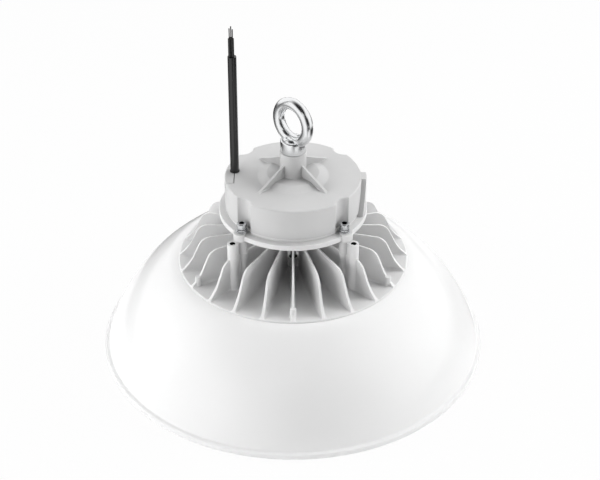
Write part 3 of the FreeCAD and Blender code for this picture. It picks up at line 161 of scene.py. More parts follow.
@dataclass(frozen=True)
class Finish:
    """A surface: what it is, how it was made and how it takes the light.

    grain_mm and depth_mm are the size and height of its surface texture.  mottle is how much
    its colour wanders, as a share, over patches of mottle_mm.  corners is painted shade: the
    share of its colour darkened at the bottom of a corner; the reach in millimetres after it
    is how near the next wall has to be for that.
    """

    name: str
    colour: str
    roughness: float
    metallic: float = 0.0
    ior: float = 1.5
    transmission: float = 0.0
    coat: float = 0.0
    grain_mm: float = 0.0
    depth_mm: float = 0.0
    mottle: float = 0.0
    mottle_mm: float = 12.0
    corners: float = 0.0
    painted_shade_reach_mm: float = 30.0

    def material(self) -> bpy.types.Material:
        """Make the Blender material, once.

        Returns:
            The material.
        """
        if self.name in bpy.data.materials:
            return bpy.data.materials[self.name]
        material = bpy.data.materials.new(self.name)
        tree = fresh_tree(material)
        settings: dict[str | int, object] = {
            "Base Color": linear(self.colour),
            "Roughness": self.roughness,
            "Metallic": self.metallic,
            "Transmission Weight": self.transmission,
            "Coat Weight": self.coat,
        }
        if not self.metallic:
            settings["IOR"] = self.ior
        links: dict[str | int, bpy.types.NodeSocket] = {}
        if self.mottle:
            links["Base Color"] = self._mottle_and_painted_shade(tree)
        if self.grain_mm:
            links["Normal"] = self._grained(tree)
        shader = add_node(tree, "ShaderNodeBsdfPrincipled", settings, links)
        add_node(tree, "ShaderNodeOutputMaterial", links={"Surface": shader.outputs["BSDF"]})
        return material

    def _noise(
        self, tree: bpy.types.NodeTree, period_mm: float, detail: float, roughness: float
    ) -> bpy.types.NodeSocket:
        """Add a noise that stays with the piece.

        Args:
            tree: the node tree.
            period_mm: size of its patches.
            detail: how many finer layers it has.
            roughness: how strong the finer layers are.

        Returns:
            The noise, 0 to 1.
        """
        place = add_node(tree, "ShaderNodeTexCoord")
        noise = add_node(
            tree,
            "ShaderNodeTexNoise",
            {"Scale": per_metre(period_mm), "Detail": detail, "Roughness": roughness},
            {"Vector": place.outputs["Object"]},
        )
        return noise.outputs["Fac"]

    def _mottle_and_painted_shade(self, tree: bpy.types.NodeTree) -> bpy.types.NodeSocket:
        """Let the colour wander, and darken it in corners as painted shade.

        Args:
            tree: the node tree.

        Returns:
            The colour.
        """
        base = linear(self.colour)[:3]
        low = (*(c * (1 - self.mottle) for c in base), 1.0)
        high = (*(min(c * (1 + self.mottle), 1.0) for c in base), 1.0)
        cloud = self._noise(tree, self.mottle_mm, detail=4.0, roughness=0.6)
        blend = add_node(
            tree,
            "ShaderNodeMix",
            {"data_type": "RGBA", MIX_FIRST: low, MIX_SECOND: high},
            {"Factor": cloud},
        )
        # Painted shade: ambient occlusion darkens the colour in corners.
        painted_shade_ao = add_node(
            tree,
            "ShaderNodeAmbientOcclusion",
            {"samples": 8, "Distance": self.painted_shade_reach_mm * MM},
        )
        shade = add_node(
            tree,
            "ShaderNodeMapRange",
            {"To Min": 1 - self.corners},
            {"Value": painted_shade_ao.outputs["AO"]},
        )
        dim = add_node(
            tree,
            "ShaderNodeMix",
            {"data_type": "RGBA", "blend_type": "MULTIPLY", "Factor": 1.0},
            {MIX_FIRST: blend.outputs[MIX_RESULT], MIX_SECOND: shade.outputs["Result"]},
        )
        return dim.outputs[MIX_RESULT]

    def _grained(self, tree: bpy.types.NodeTree) -> bpy.types.NodeSocket:
        """Raise the grain as bump.

        Args:
            tree: the node tree.

        Returns:
            The bent normal.
        """
        bump = add_node(
            tree,
            "ShaderNodeBump",
            {"Strength": 1.0, "Distance": self.depth_mm * MM},
            {"Height": self._noise(tree, self.grain_mm, detail=2.0, roughness=0.5)},
        )
        return bump.outputs["Normal"]


# Wet-sprayed satin enamel on spun aluminium: broad soft highlights, a trace of orange peel.
SATIN_ENAMEL = Finish(
    "satin_enamel_sprayed", "FCFCFC", 0.38, coat=0.55, grain_mm=4.0, depth_mm=0.004
)
# Polyester powder coat on a die casting: dull and finely pebbled, and its edges catch the
# light.  Its colour is darkened deep in the corners as painted shade.
POWDER_COAT = Finish(
    "polyester_powder_coat",
    "EFEFEF",
    0.55,
    grain_mm=0.7,
    depth_mm=0.03,
    mottle=0.02,
    corners=0.2,
)
# The same coat on the drum: its colour a shade greyer, and much darker in its corners, as
# painted shade.
SHADED_DRUM_COAT = Finish(
    "shaded_drum_powder_coat",
    "DADADA",
    0.55,
    grain_mm=0.7,
    depth_mm=0.03,
    mottle=0.02,
    corners=0.55,
    painted_shade_reach_mm=42.0,
)
# The same coat on the crests, a little smoother, and painted paler as a painted highlight, so
# each blade ends in a bright line.
CREST_HIGHLIGHT_COAT = Finish("painted_highlight_powder_coat_crest", "FAFAFA", 0.45)
# The drum's greyer coat, which is painted shade, a little smoother on the crests of its webs.
SHADED_DRUM_CREST = Finish("shaded_drum_powder_coat_crest", "DADADA", 0.45)
# The wall of a tapped hole, free of coat, painted dark grey and dull as painted shade, so the
# hole looks dark.
HOLE_SHADE_WALL = Finish("aluminium_tapped_painted_shade", "3C3C3D", 0.6, metallic=1.0)
# Electroplated chrome on a polished forging: mirrors the studio in soft black and white.
CHROME_PLATE = Finish("chrome_plate_polished", "F4F5F6", 0.23, metallic=1.0)
# Bright zinc on cold-headed steel: a soft metal sheen with fine turning marks.
ZINC_PLATE = Finish(
    "zinc_plate_on_steel", "D4D6D8", 0.2, metallic=1.0, grain_mm=0.6, depth_mm=0.002
)
# Extruded rubber jacket: near black with one long soft highlight.
CORD_RUBBER = Finish("rubber_jacket_extruded", "141414", 0.3, coat=0.35)
# Moulded rubber: near black and dull.
MOULDED_RUBBER = Finish("rubber_moulded", "1A1A1A", 0.6, grain_mm=0.6, depth_mm=0.012)
# Cast silicone: pale, soft and slightly greasy.
SILICONE = Finish("silicone_cast", "C9C9C6", 0.5)
# Tempered soda-lime glass, ground edge: clear with a sharp reflection.
TEMPERED_GLASS = Finish("soda_lime_glass_tempered", "F4FAF7", 0.02, ior=1.52, transmission=1.0)
# White solder mask over aluminium: even and half glossy.
SOLDER_MASK = Finish("solder_mask_white", "EDEDEB", 0.35)
# Moulded thermoplastic package of an LED: an even, slightly warm white.
LED_PACKAGE = Finish("ppa_package_moulded", "E9E9E2", 0.4)
# Phosphor in silicone: deep yellow and soft.
PHOSPHOR = Finish("phosphor_in_silicone", "E3B93B", 0.3)
# Potting resin: black and slightly uneven.
POTTING = Finish("polyurethane_potting", "1C1C1D", 0.35, grain_mm=6.0, depth_mm=0.05)
# Moulded nylon of a terminal block: off-white and half dull.
NYLON = Finish("nylon_moulded", "D7D6CF", 0.5)
# PVC insulation of the cores: black and satin.
CORE_PVC = Finish("pvc_insulation_extruded", "232323", 0.4)
# Drawn copper strands, browned by air: dark, with a dull metal sheen.
COPPER = Finish("copper_strand_drawn", "2E2622", 0.45, metallic=1.0)
# Gap pad, silicone filled with ceramic: grey and dull.
GAP_PAD = Finish("silicone_gap_pad", "8E9193", 0.8)


# ---------------------------------------------------------------------------------------
# Shaping
# ---------------------------------------------------------------------------------------


def at(x: float, y: float, z: float) -> Vector:
    """A place or a shift in metres, from millimetres."""
    return Vector((x, y, z)) * MM


def on_circle(radius: float, degrees: float) -> Point:
    """A point on a circle about the axis."""
    angle = math.radians(degrees)
    return (radius * math.cos(angle), radius * math.sin(angle))


def nearer(a: Vector, b: Vector) -> float:
    """How far the nearer of two points is from the upright axis."""
    return min(math.hypot(a.x, a.y), math.hypot(b.x, b.y))


def arc(centre: Point, radius: float, start: float, end: float, steps: int) -> Profile:
    """Points of an arc, angles in degrees, both ends included."""
    angles = [math.radians(start + (end - start) * k / steps) for k in range(steps + 1)]
    return [(centre[0] + radius * math.cos(a), centre[1] + radius * math.sin(a)) for a in angles]


def arc_between(start: Point, end: Point, radius: float, left: bool, steps: int) -> Profile:
    """Points of the short arc between two points.

    Args:
        start: first point.
        end: last point.
        radius: the arc's radius.
        left: whether the arc turns left on its way.
        steps: number of chords.

    Returns:
        The points, both ends included.
    """
    dx, dy = end[0] - start[0], end[1] - start[1]
    chord = math.hypot(dx, dy)
    reach = math.sqrt(max(radius**2 - chord**2 / 4, 0.0)) * (1 if left else -1)
    centre = (
        (start[0] + end[0]) / 2 - dy / chord * reach,
        (start[1] + end[1]) / 2 + dx / chord * reach,
    )
    first = math.degrees(math.atan2(start[1] - centre[1], start[0] - centre[0]))
    last = math.degrees(math.atan2(end[1] - centre[1], end[0] - centre[0]))
    if left and last < first:
        last += 360
    if not left and last > first:
        last -= 360
    return arc(centre, radius, first, last, steps)


def lower_edge(radius: float, low: float, edge: float, steps: int) -> Profile:
    """Rounded outer edge at a section's underside, from below outwards."""
    return arc((radius - edge, low + edge), edge, -90, 0, steps)


def upper_edge(radius: float, high: float, edge: float, steps: int) -> Profile:
    """Rounded outer edge at a section's top, from the side inwards."""
    return arc((radius - edge, high - edge), edge, 0, 90, steps)


def puck(radius: float, low: float, high: float, edge: float, steps: int) -> Profile:
    """Section of a solid disc with rounded outer edges.

    Args:
        radius: the disc.
        low: height of its underside.
        high: height of its top.
        edge: radius of the rounding.
        steps: chords of each rounding.

    Returns:
        The section's corners.
    """
    outside = lower_edge(radius, low, edge, steps) + upper_edge(radius, high, edge, steps)
    return [(0.0, low), *outside, (0.0, high)]


def lathe(
    bm: bmesh.types.BMesh, profile: Profile, steps: int, spot: Point = (0.0, 0.0)
) -> list[bmesh.types.BMVert]:
    """Spin a closed profile once round an upright axis.

    Args:
        bm: the mesh.
        profile: radius and height of each corner, in order round the section.
        steps: facets of the full turn.
        spot: where the axis stands.

    Returns:
        The new vertices.
    """
    before = set(bm.verts)
    centre = at(spot[0], spot[1], 0)
    corners = [bm.verts.new(centre + at(r, 0, z)) for r, z in profile]
    edges = [bm.edges.new((corners[k - 1], corners[k])) for k in range(len(corners))]
    bmesh.ops.spin(
        bm,
        geom=corners + edges,
        cent=centre,
        axis=(0, 0, 1),
        angle=FULL_TURN,
        steps=steps,
        use_merge=True,
    )
    fresh = [v for v in bm.verts if v not in before]
    bmesh.ops.remove_doubles(bm, verts=fresh, dist=MERGE)
    return [v for v in bm.verts if v not in before]


def extrude(
    bm: bmesh.types.BMesh, corners: Sequence[Vector], along: Vector
) -> list[bmesh.types.BMVert]:
    """Draw a flat face out into a solid.

    Args:
        bm: the mesh.
        corners: the face's corners, in metres.
        along: how far it is drawn, and which way.

    Returns:
        The new vertices.
    """
    near = bm.faces.new([bm.verts.new(corner) for corner in corners])
    raised = bmesh.ops.extrude_face_region(bm, geom=[near], use_keep_orig=True)
    far = [item for item in raised["geom"] if isinstance(item, bmesh.types.BMVert)]
    bmesh.ops.translate(bm, verts=far, vec=along)
    return list(near.verts) + far


def slab(
    bm: bmesh.types.BMesh, outline: Profile, low: float, high: float
) -> list[bmesh.types.BMVert]:
    """Raise a level outline, anticlockwise, into an upright block."""
    return extrude(bm, [at(x, y, low) for x, y in outline], at(0, 0, high - low))


def slice_at(bm: bmesh.types.BMesh, place: Vector, normal: Place) -> None:
    """Divide every face that a plane crosses.

    Args:
        bm: the mesh.
        place: a point of the plane.
        normal: which way the plane faces.
    """
    bmesh.ops.bisect_plane(
        bm,
        geom=[*bm.verts, *bm.edges, *bm.faces],
        dist=MERGE,
        plane_co=place,
        plane_no=normal,
    )


def edges_where(
    verts: Iterable[bmesh.types.BMVert], test: Callable[[Vector, Vector], bool]
) -> list[bmesh.types.BMEdge]:
    """Find edges by where their two ends are.

    Args:
        verts: the vertices between which it looks.
        test: says of an edge's two ends, in millimetres, whether it is wanted.

    Returns:
        The edges, in an order that depends only on where they are.
    """
    chosen = set(verts)
    found = {
        edge
        for vert in chosen
        for edge in vert.link_edges
        if edge.verts[0] in chosen and edge.verts[1] in chosen
    }
    ordered = sorted(
        found, key=lambda e: tuple(round(c, 9) for c in (*e.verts[0].co, *e.verts[1].co))
    )
    return [e for e in ordered if test(e.verts[0].co / MM, e.verts[1].co / MM)]


def soften(
    bm: bmesh.types.BMesh, edges: Sequence[bmesh.types.BMEdge], width: float, segments: int
) -> None:
    """Round edges.

    Args:
        bm: the mesh.
        edges: the edges.
        width: how far the rounding reaches on each side.
        segments: facets across it.
    """
    bmesh.ops.bevel(
        bm,
        geom=list(edges),
        offset=width * MM,
        offset_type="OFFSET",
        segments=segments,
        profile=0.5,
        affect="EDGES",
        clamp_overlap=True,
        material=-1,
    )


def swing(
    bm: bmesh.types.BMesh,
    verts: Iterable[bmesh.types.BMVert],
    degrees: float,
    axis: str = "Z",
    centre: Sequence[float] = (0, 0, 0),
) -> None:
    """Turn vertices about an axis.

    Args:
        bm: the mesh.
        verts: the vertices.
        degrees: how far they turn.
        axis: X, Y or Z.
        centre: a point of the axis, in metres.
    """
    matrix = Matrix.Rotation(math.radians(degrees), 3, axis)
    bmesh.ops.rotate(bm, verts=list(verts), cent=centre, matrix=matrix)


def repeat(bm: bmesh.types.BMesh, count: int, start: float = 0.0) -> None:
    """Copy the whole mesh evenly round the upright axis.

    Args:
        bm: the mesh.
        count: how many there are in the end.
        start: degrees by which the first turns from where it was made.
    """
    bmesh.ops.spin(
        bm,
        geom=[*bm.verts, *bm.edges, *bm.faces],
        cent=(0, 0, 0),
        axis=(0, 0, 1),
        angle=FULL_TURN * (count - 1) / count,
        steps=count - 1,
        use_duplicate=True,
    )
    swing(bm, bm.verts, start)


def absorb(bm: bmesh.types.BMesh, other: bmesh.types.BMesh) -> None:
    """Move another mesh's geometry into this one.

    Args:
        bm: the mesh that grows.
        other: the mesh that is used up.
    """
    carrier = bpy.data.meshes.new("carrier")
    other.to_mesh(carrier)
    other.free()
    bm.from_mesh(carrier)
    bpy.data.meshes.remove(carrier)


def as_object(bm: bmesh.types.BMesh, name: str) -> bpy.types.Object:
    """Turn a finished mesh into a linked object at the origin.

    Args:
        bm: the mesh, which is used up.
        name: the object's name.

    Returns:
        The object.
    """
    bmesh.ops.recalc_face_normals(bm, faces=list(bm.faces))
    mesh = bpy.data.meshes.new(name)
    bm.to_mesh(mesh)
    bm.free()
    return linked(name, mesh)


def linked(name: str, data: bpy.types.ID) -> bpy.types.Object:
    """Put an object with this data into the scene.

    Args:
        name: the object's name.
        data: its mesh, curve, lamp or camera.

    Returns:
        The object.
    """
    thing = bpy.data.objects.new(name, data)
    bpy.context.scene.collection.objects.link(thing)
    return thing


def finish_piece(
    bm: bmesh.types.BMesh, name: str, node: str, *finishes: Finish, weighted: bool = False
) -> bpy.types.Object:
    """Turn a mesh into a dressed piece that stands for a CAD node.

    Args:
        bm: the mesh, which is used up.
        name: the piece's name.
        node: the CAD node that it replaces.
        finishes: one finish for each material index.
        weighted: let large faces keep their flat shading beside rounded edges.

    Returns:
        The piece.
    """
    piece = as_object(bm, name)
    mesh = piece.data
    for finish in finishes:
        mesh.materials.append(finish.material())
    mesh.shade_smooth()
    mesh.set_sharp_from_angle(angle=math.radians(SHARP))
    if weighted:
        modifier = piece.modifiers.new("weighted", "WEIGHTED_NORMAL")
        modifier.keep_sharp = True
    settle(piece, node)
    return piece


def settle(piece: bpy.types.Object, node: str) -> None:
    """Tie a piece to the CAD body and take over a node.

    Args:
        piece: the piece.
        node: the CAD node that it replaces.
    """
    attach(piece, "root")
    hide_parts(node)
    size = len(piece.data.polygons) if piece.type == "MESH" else 0
    LOG.info("%s: %d faces, stands for %s", piece.name, size, node)


def paint(node: str, finish: Finish) -> None:
    """Give a CAD node whose shape is right its finish.

    Args:
        node: the CAD node.
        finish: its finish.
    """
    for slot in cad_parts[node].material_slots:
        slot.material = finish.material()
    LOG.info("%s: CAD shape, %s", node, finish.name)


def span(node: str) -> Point:
    """Lowest and highest point of a CAD node, in millimetres."""
    low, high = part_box(node)
    return low.z / MM, high.z / MM


def stance(node: str) -> tuple[Point, float]:
    """Find where an upright round CAD node stands.

    Args:
        node: the CAD node.

    Returns:
        Where its axis is, and its radius, in millimetres.
    """
    low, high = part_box(node)
    spot = ((low.x + high.x) / 2 / MM, (low.y + high.y) / 2 / MM)
    return spot, (high.x - low.x) / 2 / MM


# ---------------------------------------------------------------------------------------
# Reflector
# ---------------------------------------------------------------------------------------


@dataclass
class Reflector:
    """The spun bell: flat neck, tight shoulder, long dome, turned-down lip."""

    rim: float = 210.0
    gauge: float = 1.5
    lip: float = 6.2
    lip_bend: float = 2.0
    foot: Point = (205.0, 7.4)
    foot_slope: float = 72.6
    ledge_outside: float = 1.2
    ledge_inside: float = 1.95
    dome_bend: float = 184.0
    dome_steps: int = 40
    shoulder_turn: float = 36.0
    shoulder_steps: int = 10
    mouth: float = 112.3
    steps: int = 256

    def _inwards(self, point: Point, degrees: float) -> Point:
        """The sheet's inner face under a point whose surface slopes by this much."""
        slope = math.radians(degrees)
        return (point[0] - self.gauge * math.sin(slope), point[1] - self.gauge * math.cos(slope))

    def profile(self) -> Profile:
        """Draw the section of the sheet, outside first.

        Returns:
            The section's corners.
        """
        gauge, foot = self.gauge, self.foot
        tilt = math.radians(self.shoulder_turn)
        brow = (SHOULDER_START, NECK_HEIGHT)
        join = (
            SHOULDER_START + SHOULDER_BEND * math.sin(tilt),
            NECK_HEIGHT - SHOULDER_BEND * (1 - math.cos(tilt)),
        )
        inner_join = self._inwards(join, self.shoulder_turn)
        inner_foot = self._inwards(foot, self.foot_slope)
        under = NECK_HEIGHT - gauge
        inner_brow = (SHOULDER_START, under)
        bend = (self.rim - self.lip_bend, self.lip - self.lip_bend)
        ledge = (foot[0] + self.ledge_outside, self.lip)
        inner_ledge = (inner_foot[0] + self.ledge_inside, self.lip - gauge)
        shoulder, dome = self.shoulder_steps, self.dome_steps
        outside = [(self.mouth, under), (self.mouth, NECK_HEIGHT)]
        outside += arc_between(brow, join, SHOULDER_BEND, False, shoulder)
        outside += arc_between(join, foot, self.dome_bend, False, dome)[1:]
        outside += arc_between(foot, ledge, gauge, True, 4)[1:]
        outside += arc(bend, self.lip_bend, 90, 0, 6)
        outside += arc((self.rim - gauge / 2, gauge / 2), gauge / 2, 0, -180, 6)
        inside = arc(bend, self.lip_bend - gauge, 0, 90, 3)
        inside += arc_between(inner_ledge, inner_foot, gauge * 2, False, 4)
        inside += arc_between(inner_foot, inner_join, self.dome_bend - gauge, True, dome)[1:]
        inside += arc_between(inner_join, inner_brow, SHOULDER_BEND - gauge, True, shoulder)[1:]
        return outside + inside

    def build(self) -> None:
        """Spin the bell."""
        bm = bmesh.new()
        lathe(bm, self.profile(), self.steps)
        finish_piece(bm, "reflector_bell", "reflector", SATIN_ENAMEL)


# ---------------------------------------------------------------------------------------
# Ribs, posts and screws that the assemblies share
# ---------------------------------------------------------------------------------------


@dataclass
class Rib:
    """A cast blade: an outline with rounded edges, thicker towards its filleted root.

    slices are the heights in the fillet, as shares of it, at which the blade's sides bend.
    """

    outline: Profile
    root: float
    root_thickness: float
    crest: float
    crest_thickness: float
    fillet: float
    rounding: float
    most_rounding: float = 0.45
    slices: tuple[float, ...] = (0.08, 0.25, 0.5, 1.0)
    squareness: float = 0.97

    def half_thickness(self, height: float) -> float:
        """Work out half the blade's thickness.

        Args:
            height: the height at which it is wanted.

        Returns:
            Half the thickness, with the fillet at the root.
        """
        rise = (height - self.root) / (self.crest - self.root)
        plain = self.root_thickness + (self.crest_thickness - self.root_thickness) * rise
        above = max(height - self.root, 0.0)
        flare = 0.0
        if above < self.fillet:
            flare = self.fillet - math.sqrt(self.fillet**2 - (self.fillet - above) ** 2)
        return plain / 2 + flare

    def build(self) -> bmesh.types.BMesh:
        """Shape the blade, 1 mm thick at first so that its edges round evenly.

        Returns:
            Its mesh, lying along +X.
        """
        bm = bmesh.new()
        extrude(bm, [at(r, -0.5, z) for r, z in self.outline], at(0, 1, 0))
        rims = edges_where(
            bm.verts,
            lambda a, b: abs(a.y - b.y) < SLACK and max(a.z, b.z) > self.root + SLACK,
        )
        soften(bm, rims, min(self.rounding / self.crest_thickness, self.most_rounding), 2)
        # Faces that don't face the sides, the crest and its rounding, take the painted highlight's
        # slot.
        for face in bm.faces:
            face.normal_update()
            face.material_index = CREST_SLOT if abs(face.normal.y) < self.squareness else 0
        for share in self.slices:
            slice_at(bm, at(0, 0, self.root + self.fillet * share), (0, 0, 1))
        for vert in bm.verts:
            vert.co.y *= 2 * self.half_thickness(vert.co.z / MM)
        return bm


@dataclass
class Post:
    """An upright round post with a filleted foot, and a hole down its middle."""

    spot: Point
    radius: float
    low: float
    high: float
    hole: float = 0.0
    depth: float = 0.0
    fillet: float = 1.8
    draft: float = 0.25
    rounding: float = 0.4
    steps: int = 40

    def add_to(self, bm: bmesh.types.BMesh) -> None:
        """Spin the post into a mesh.

        Args:
            bm: the mesh.
        """
        wide = self.radius + self.fillet
        profile = [(0.0, self.low - SUNK), (wide, self.low - SUNK)]
        profile += arc((wide, self.low + self.fillet), self.fillet, 270, 180, 4)
        profile += upper_edge(self.radius - self.draft, self.high, self.rounding, 3)
        if self.hole:
            profile += [(self.hole + self.rounding, self.high)]
            profile += [(self.hole, self.high - self.rounding)]
            profile += [(self.hole, self.high - self.depth)]
        profile += [(0.0, self.high - self.depth)]
        verts = lathe(bm, profile, self.steps, self.spot)
        axis = at(*self.spot, 0).xy
        # Faces inside the hole take the slot of the painted shade.
        for face in {face for vert in verts for face in vert.link_faces}:
            reach = (face.calc_center_median().xy - axis).length
            if reach < self.hole * MM:
                face.material_index = HOLE_SHADE_SLOT


@dataclass
class SocketScrew:
    """A hexagon socket screw: its head, the socket, and a plain shank.

    key is the hexagon's radius, and knurl the depth of the grooves round the head.
    """

    spot: Point
    seat: float
    crown: float
    tip: float
    head: float
    shank: float
    key: float
    knurl: float = 0.0
    facets: int = 64
    most_chamfer: float = 0.5
    chamfer_share: float = 0.2
    socket_share: float = 0.55
    lead_in: float = 0.35
    undercut: float = 0.3

    def build(self) -> bmesh.types.BMesh:
        """Join rings, from the socket's floor over the head to the shank's tip.

        Returns:
            The screw's mesh, standing at its spot.
        """
        bm = bmesh.new()
        centre = at(*self.spot, 0)
        up = 1.0 if self.crown > self.seat else -1.0
        height = abs(self.crown - self.seat)
        chamfer = min(self.most_chamfer, height * self.chamfer_share)
        rims: list[list[bmesh.types.BMEdge]] = []
        for radius, level in (
            (self.key, self.crown - up * height * self.socket_share),
            (self.key, self.crown),
            (self.key + self.lead_in, self.crown),
            (self.head - chamfer, self.crown),
            (self.head, self.crown - up * chamfer),
            (self.head, self.seat + up * chamfer),
            (self.head - self.undercut, self.seat),
            (self.shank, self.seat),
            (self.shank, self.tip),
        ):
            segments = 6 if radius == self.key else self.facets
            verts = bmesh.ops.create_circle(bm, segments=segments, radius=radius * MM)["verts"]
            bmesh.ops.translate(bm, verts=verts, vec=centre + Vector((0, 0, level * MM)))
            rims.append(edges_where(verts, lambda a, b: True))
            if radius == self.head:
                self._groove(verts, centre)
        for first, second in zip(rims, rims[1:]):
            bmesh.ops.bridge_loops(bm, edges=first + second)
        for loop in (rims[0], rims[-1]):
            bmesh.ops.contextual_create(bm, geom=loop)
        return bm

    def _groove(self, verts: Sequence[bmesh.types.BMVert], centre: Vector) -> None:
        """Pull every other vertex of the head's side inwards.

        Args:
            verts: a ring of vertices, in order.
            centre: the screw's axis.
        """
        for vert in verts[1::2]:
            axis = centre + Vector((0, 0, vert.co.z))
            vert.co = axis + (vert.co - axis) * (1 - self.knurl / self.head)


# ---------------------------------------------------------------------------------------
# Heat sink
# ---------------------------------------------------------------------------------------


@dataclass
class HeatSink:
    """The finned casting under the driver housing."""

    disc: float = 123.9
    disc_edge: float = 1.5
    top: float = 109.2
    plug: float = 111.3
    plug_face: float = 99.2
    pocket: float = 88.0
    pocket_roof: float = 104.2
    fins: int = 24
    fin_inside: float = 27.0
    fin_sunk: float = 0.6
    fin_tuck: float = 0.5
    fin_set_back: float = 0.3
    fin_waist: Point = (108.6, 128.4)
    fin_sweep: float = 48.0
    fin_crown: float = 14.0
    fin_crown_at: float = 91.0
    fin_crown_from: float = 25.0
    post_circle: float = 88.4
    post_radius: float = 5.75
    post_hole: float = 2.9
    post_depth: float = 25.0
    post_top: float = 164.6
    web_top: float = 161.6
    web_start: float = 80.2
    boss_radius: float = 3.4
    boss_top: float = 119.8
    lead_spot: Point = (0.0, -19.6)
    lead_radius: float = 5.8
    lead_hole: float = 4.3
    lead_depth: float = 10.0
    lead_top: float = 119.8
    lead_foot: float = 7.2
    lead_foot_top: float = 110.6
    lead_foot_edge: float = 0.4

    def fin(self) -> Rib:
        """Draw one swept fin.

        Returns:
            The fin.
        """
        root = self.top - self.fin_sunk
        crown = (self.fin_crown_at, PILLAR_TOP - self.fin_crown)
        foot = (self.disc - self.fin_set_back, self.top)
        outline = [(self.fin_inside, root), (self.disc - self.fin_tuck, root)]
        outline += arc_between(foot, self.fin_waist, self.fin_sweep, False, 8)
        outline += arc(crown, self.fin_crown, self.fin_crown_from, 90, 8)
        outline += [(self.fin_inside, PILLAR_TOP)]
        return Rib(
            outline,
            root=self.top,
            root_thickness=3.2,
            crest=PILLAR_TOP,
            crest_thickness=2.0,
            fillet=2.2,
            rounding=0.45,
        )

    def plate(self, bm: bmesh.types.BMesh) -> None:
        """Turn the disc and its thick middle with the board's pocket.

        Args:
            bm: the casting's mesh.
        """
        profile = [(0.0, self.pocket_roof), (self.pocket, self.pocket_roof)]
        profile += [(self.pocket, self.plug_face), (self.plug, self.plug_face)]
        drop = SHOULDER_BEND - math.sqrt(SHOULDER_BEND**2 - (self.disc - SHOULDER_START) ** 2)
        brow, rest = (SHOULDER_START, NECK_HEIGHT), (self.disc, NECK_HEIGHT - drop)
        profile += [(self.plug, NECK_HEIGHT), *arc_between(brow, rest, SHOULDER_BEND, False, 4)]
        profile += upper_edge(self.disc, self.top, self.disc_edge, 6)
        profile += [(0.0, self.top)]
        lathe(bm, profile, steps=256)

    def supports(self) -> bmesh.types.BMesh:
        """Shape the open posts, the pillars behind them and the webs between.

        Returns:
            Their mesh.
        """
        bm = bmesh.new()
        spot = (self.post_circle, 0.0)
        top = self.post_top
        Post(spot, self.post_radius, self.top, top, self.post_hole, self.post_depth).add_to(bm)
        pillar = Post((PILLAR_CIRCLE, 0.0), PILLAR_RADIUS, self.top, PILLAR_TOP, draft=0.0)
        pillar.add_to(bm)
        outline = [(PILLAR_CIRCLE, self.top - SUNK), (self.post_circle, self.top - SUNK)]
        outline += [(self.post_circle, self.web_top), (self.web_start, self.web_top)]
        inside = PILLAR_TOP - OVERLAP
        outline += [(self.web_start, inside), (PILLAR_CIRCLE, inside)]
        web = Rib(
            outline,
            root=self.top,
            root_thickness=3.4,
            crest=top,
            crest_thickness=2.8,
            fillet=1.8,
            rounding=0.5,
        )
        absorb(bm, web.build())
        repeat(bm, 4, DIAGONAL)
        return bm

    def lead_boss(self, bm: bmesh.types.BMesh) -> None:
        """Turn the hollow boss of the lead and the low ring at its foot.

        Args:
            bm: the casting's mesh.
        """
        Post(
            self.lead_spot,
            self.lead_radius,
            self.top,
            self.lead_top,
            self.lead_hole,
            self.lead_depth,
            fillet=0.6,
            draft=0.05,
            rounding=0.3,
        ).add_to(bm)
        foot = [(0.0, self.top - SUNK), (self.lead_foot, self.top - SUNK)]
        foot += upper_edge(self.lead_foot, self.lead_foot_top, self.lead_foot_edge, 3)
        foot += [(0.0, self.lead_foot_top)]
        lathe(bm, foot, steps=40, spot=self.lead_spot)

    def build(self) -> None:
        """Cast the heat sink."""
        bm = bmesh.new()
        self.plate(bm)
        fins = self.fin().build()
        repeat(fins, self.fins)
        absorb(bm, fins)
        absorb(bm, self.supports())
        bosses = bmesh.new()
        spot = (BOSS_CIRCLE, 0.0)
        boss = Post(
            spot, self.boss_radius, self.top, self.boss_top, fillet=1.2, draft=0.15, rounding=0.7
        )
        boss.add_to(bosses)
        repeat(bosses, 6, 30)
        absorb(bm, bosses)
        self.lead_boss(bm)
        # The coat, its crests' painted highlight and its holes' painted shade.
        coats = (POWDER_COAT, CREST_HIGHLIGHT_COAT, HOLE_SHADE_WALL)
        finish_piece(bm, "heat_sink_casting", "heat_sink", *coats, weighted=True)


# ---------------------------------------------------------------------------------------
# Light source and its cover
# ---------------------------------------------------------------------------------------


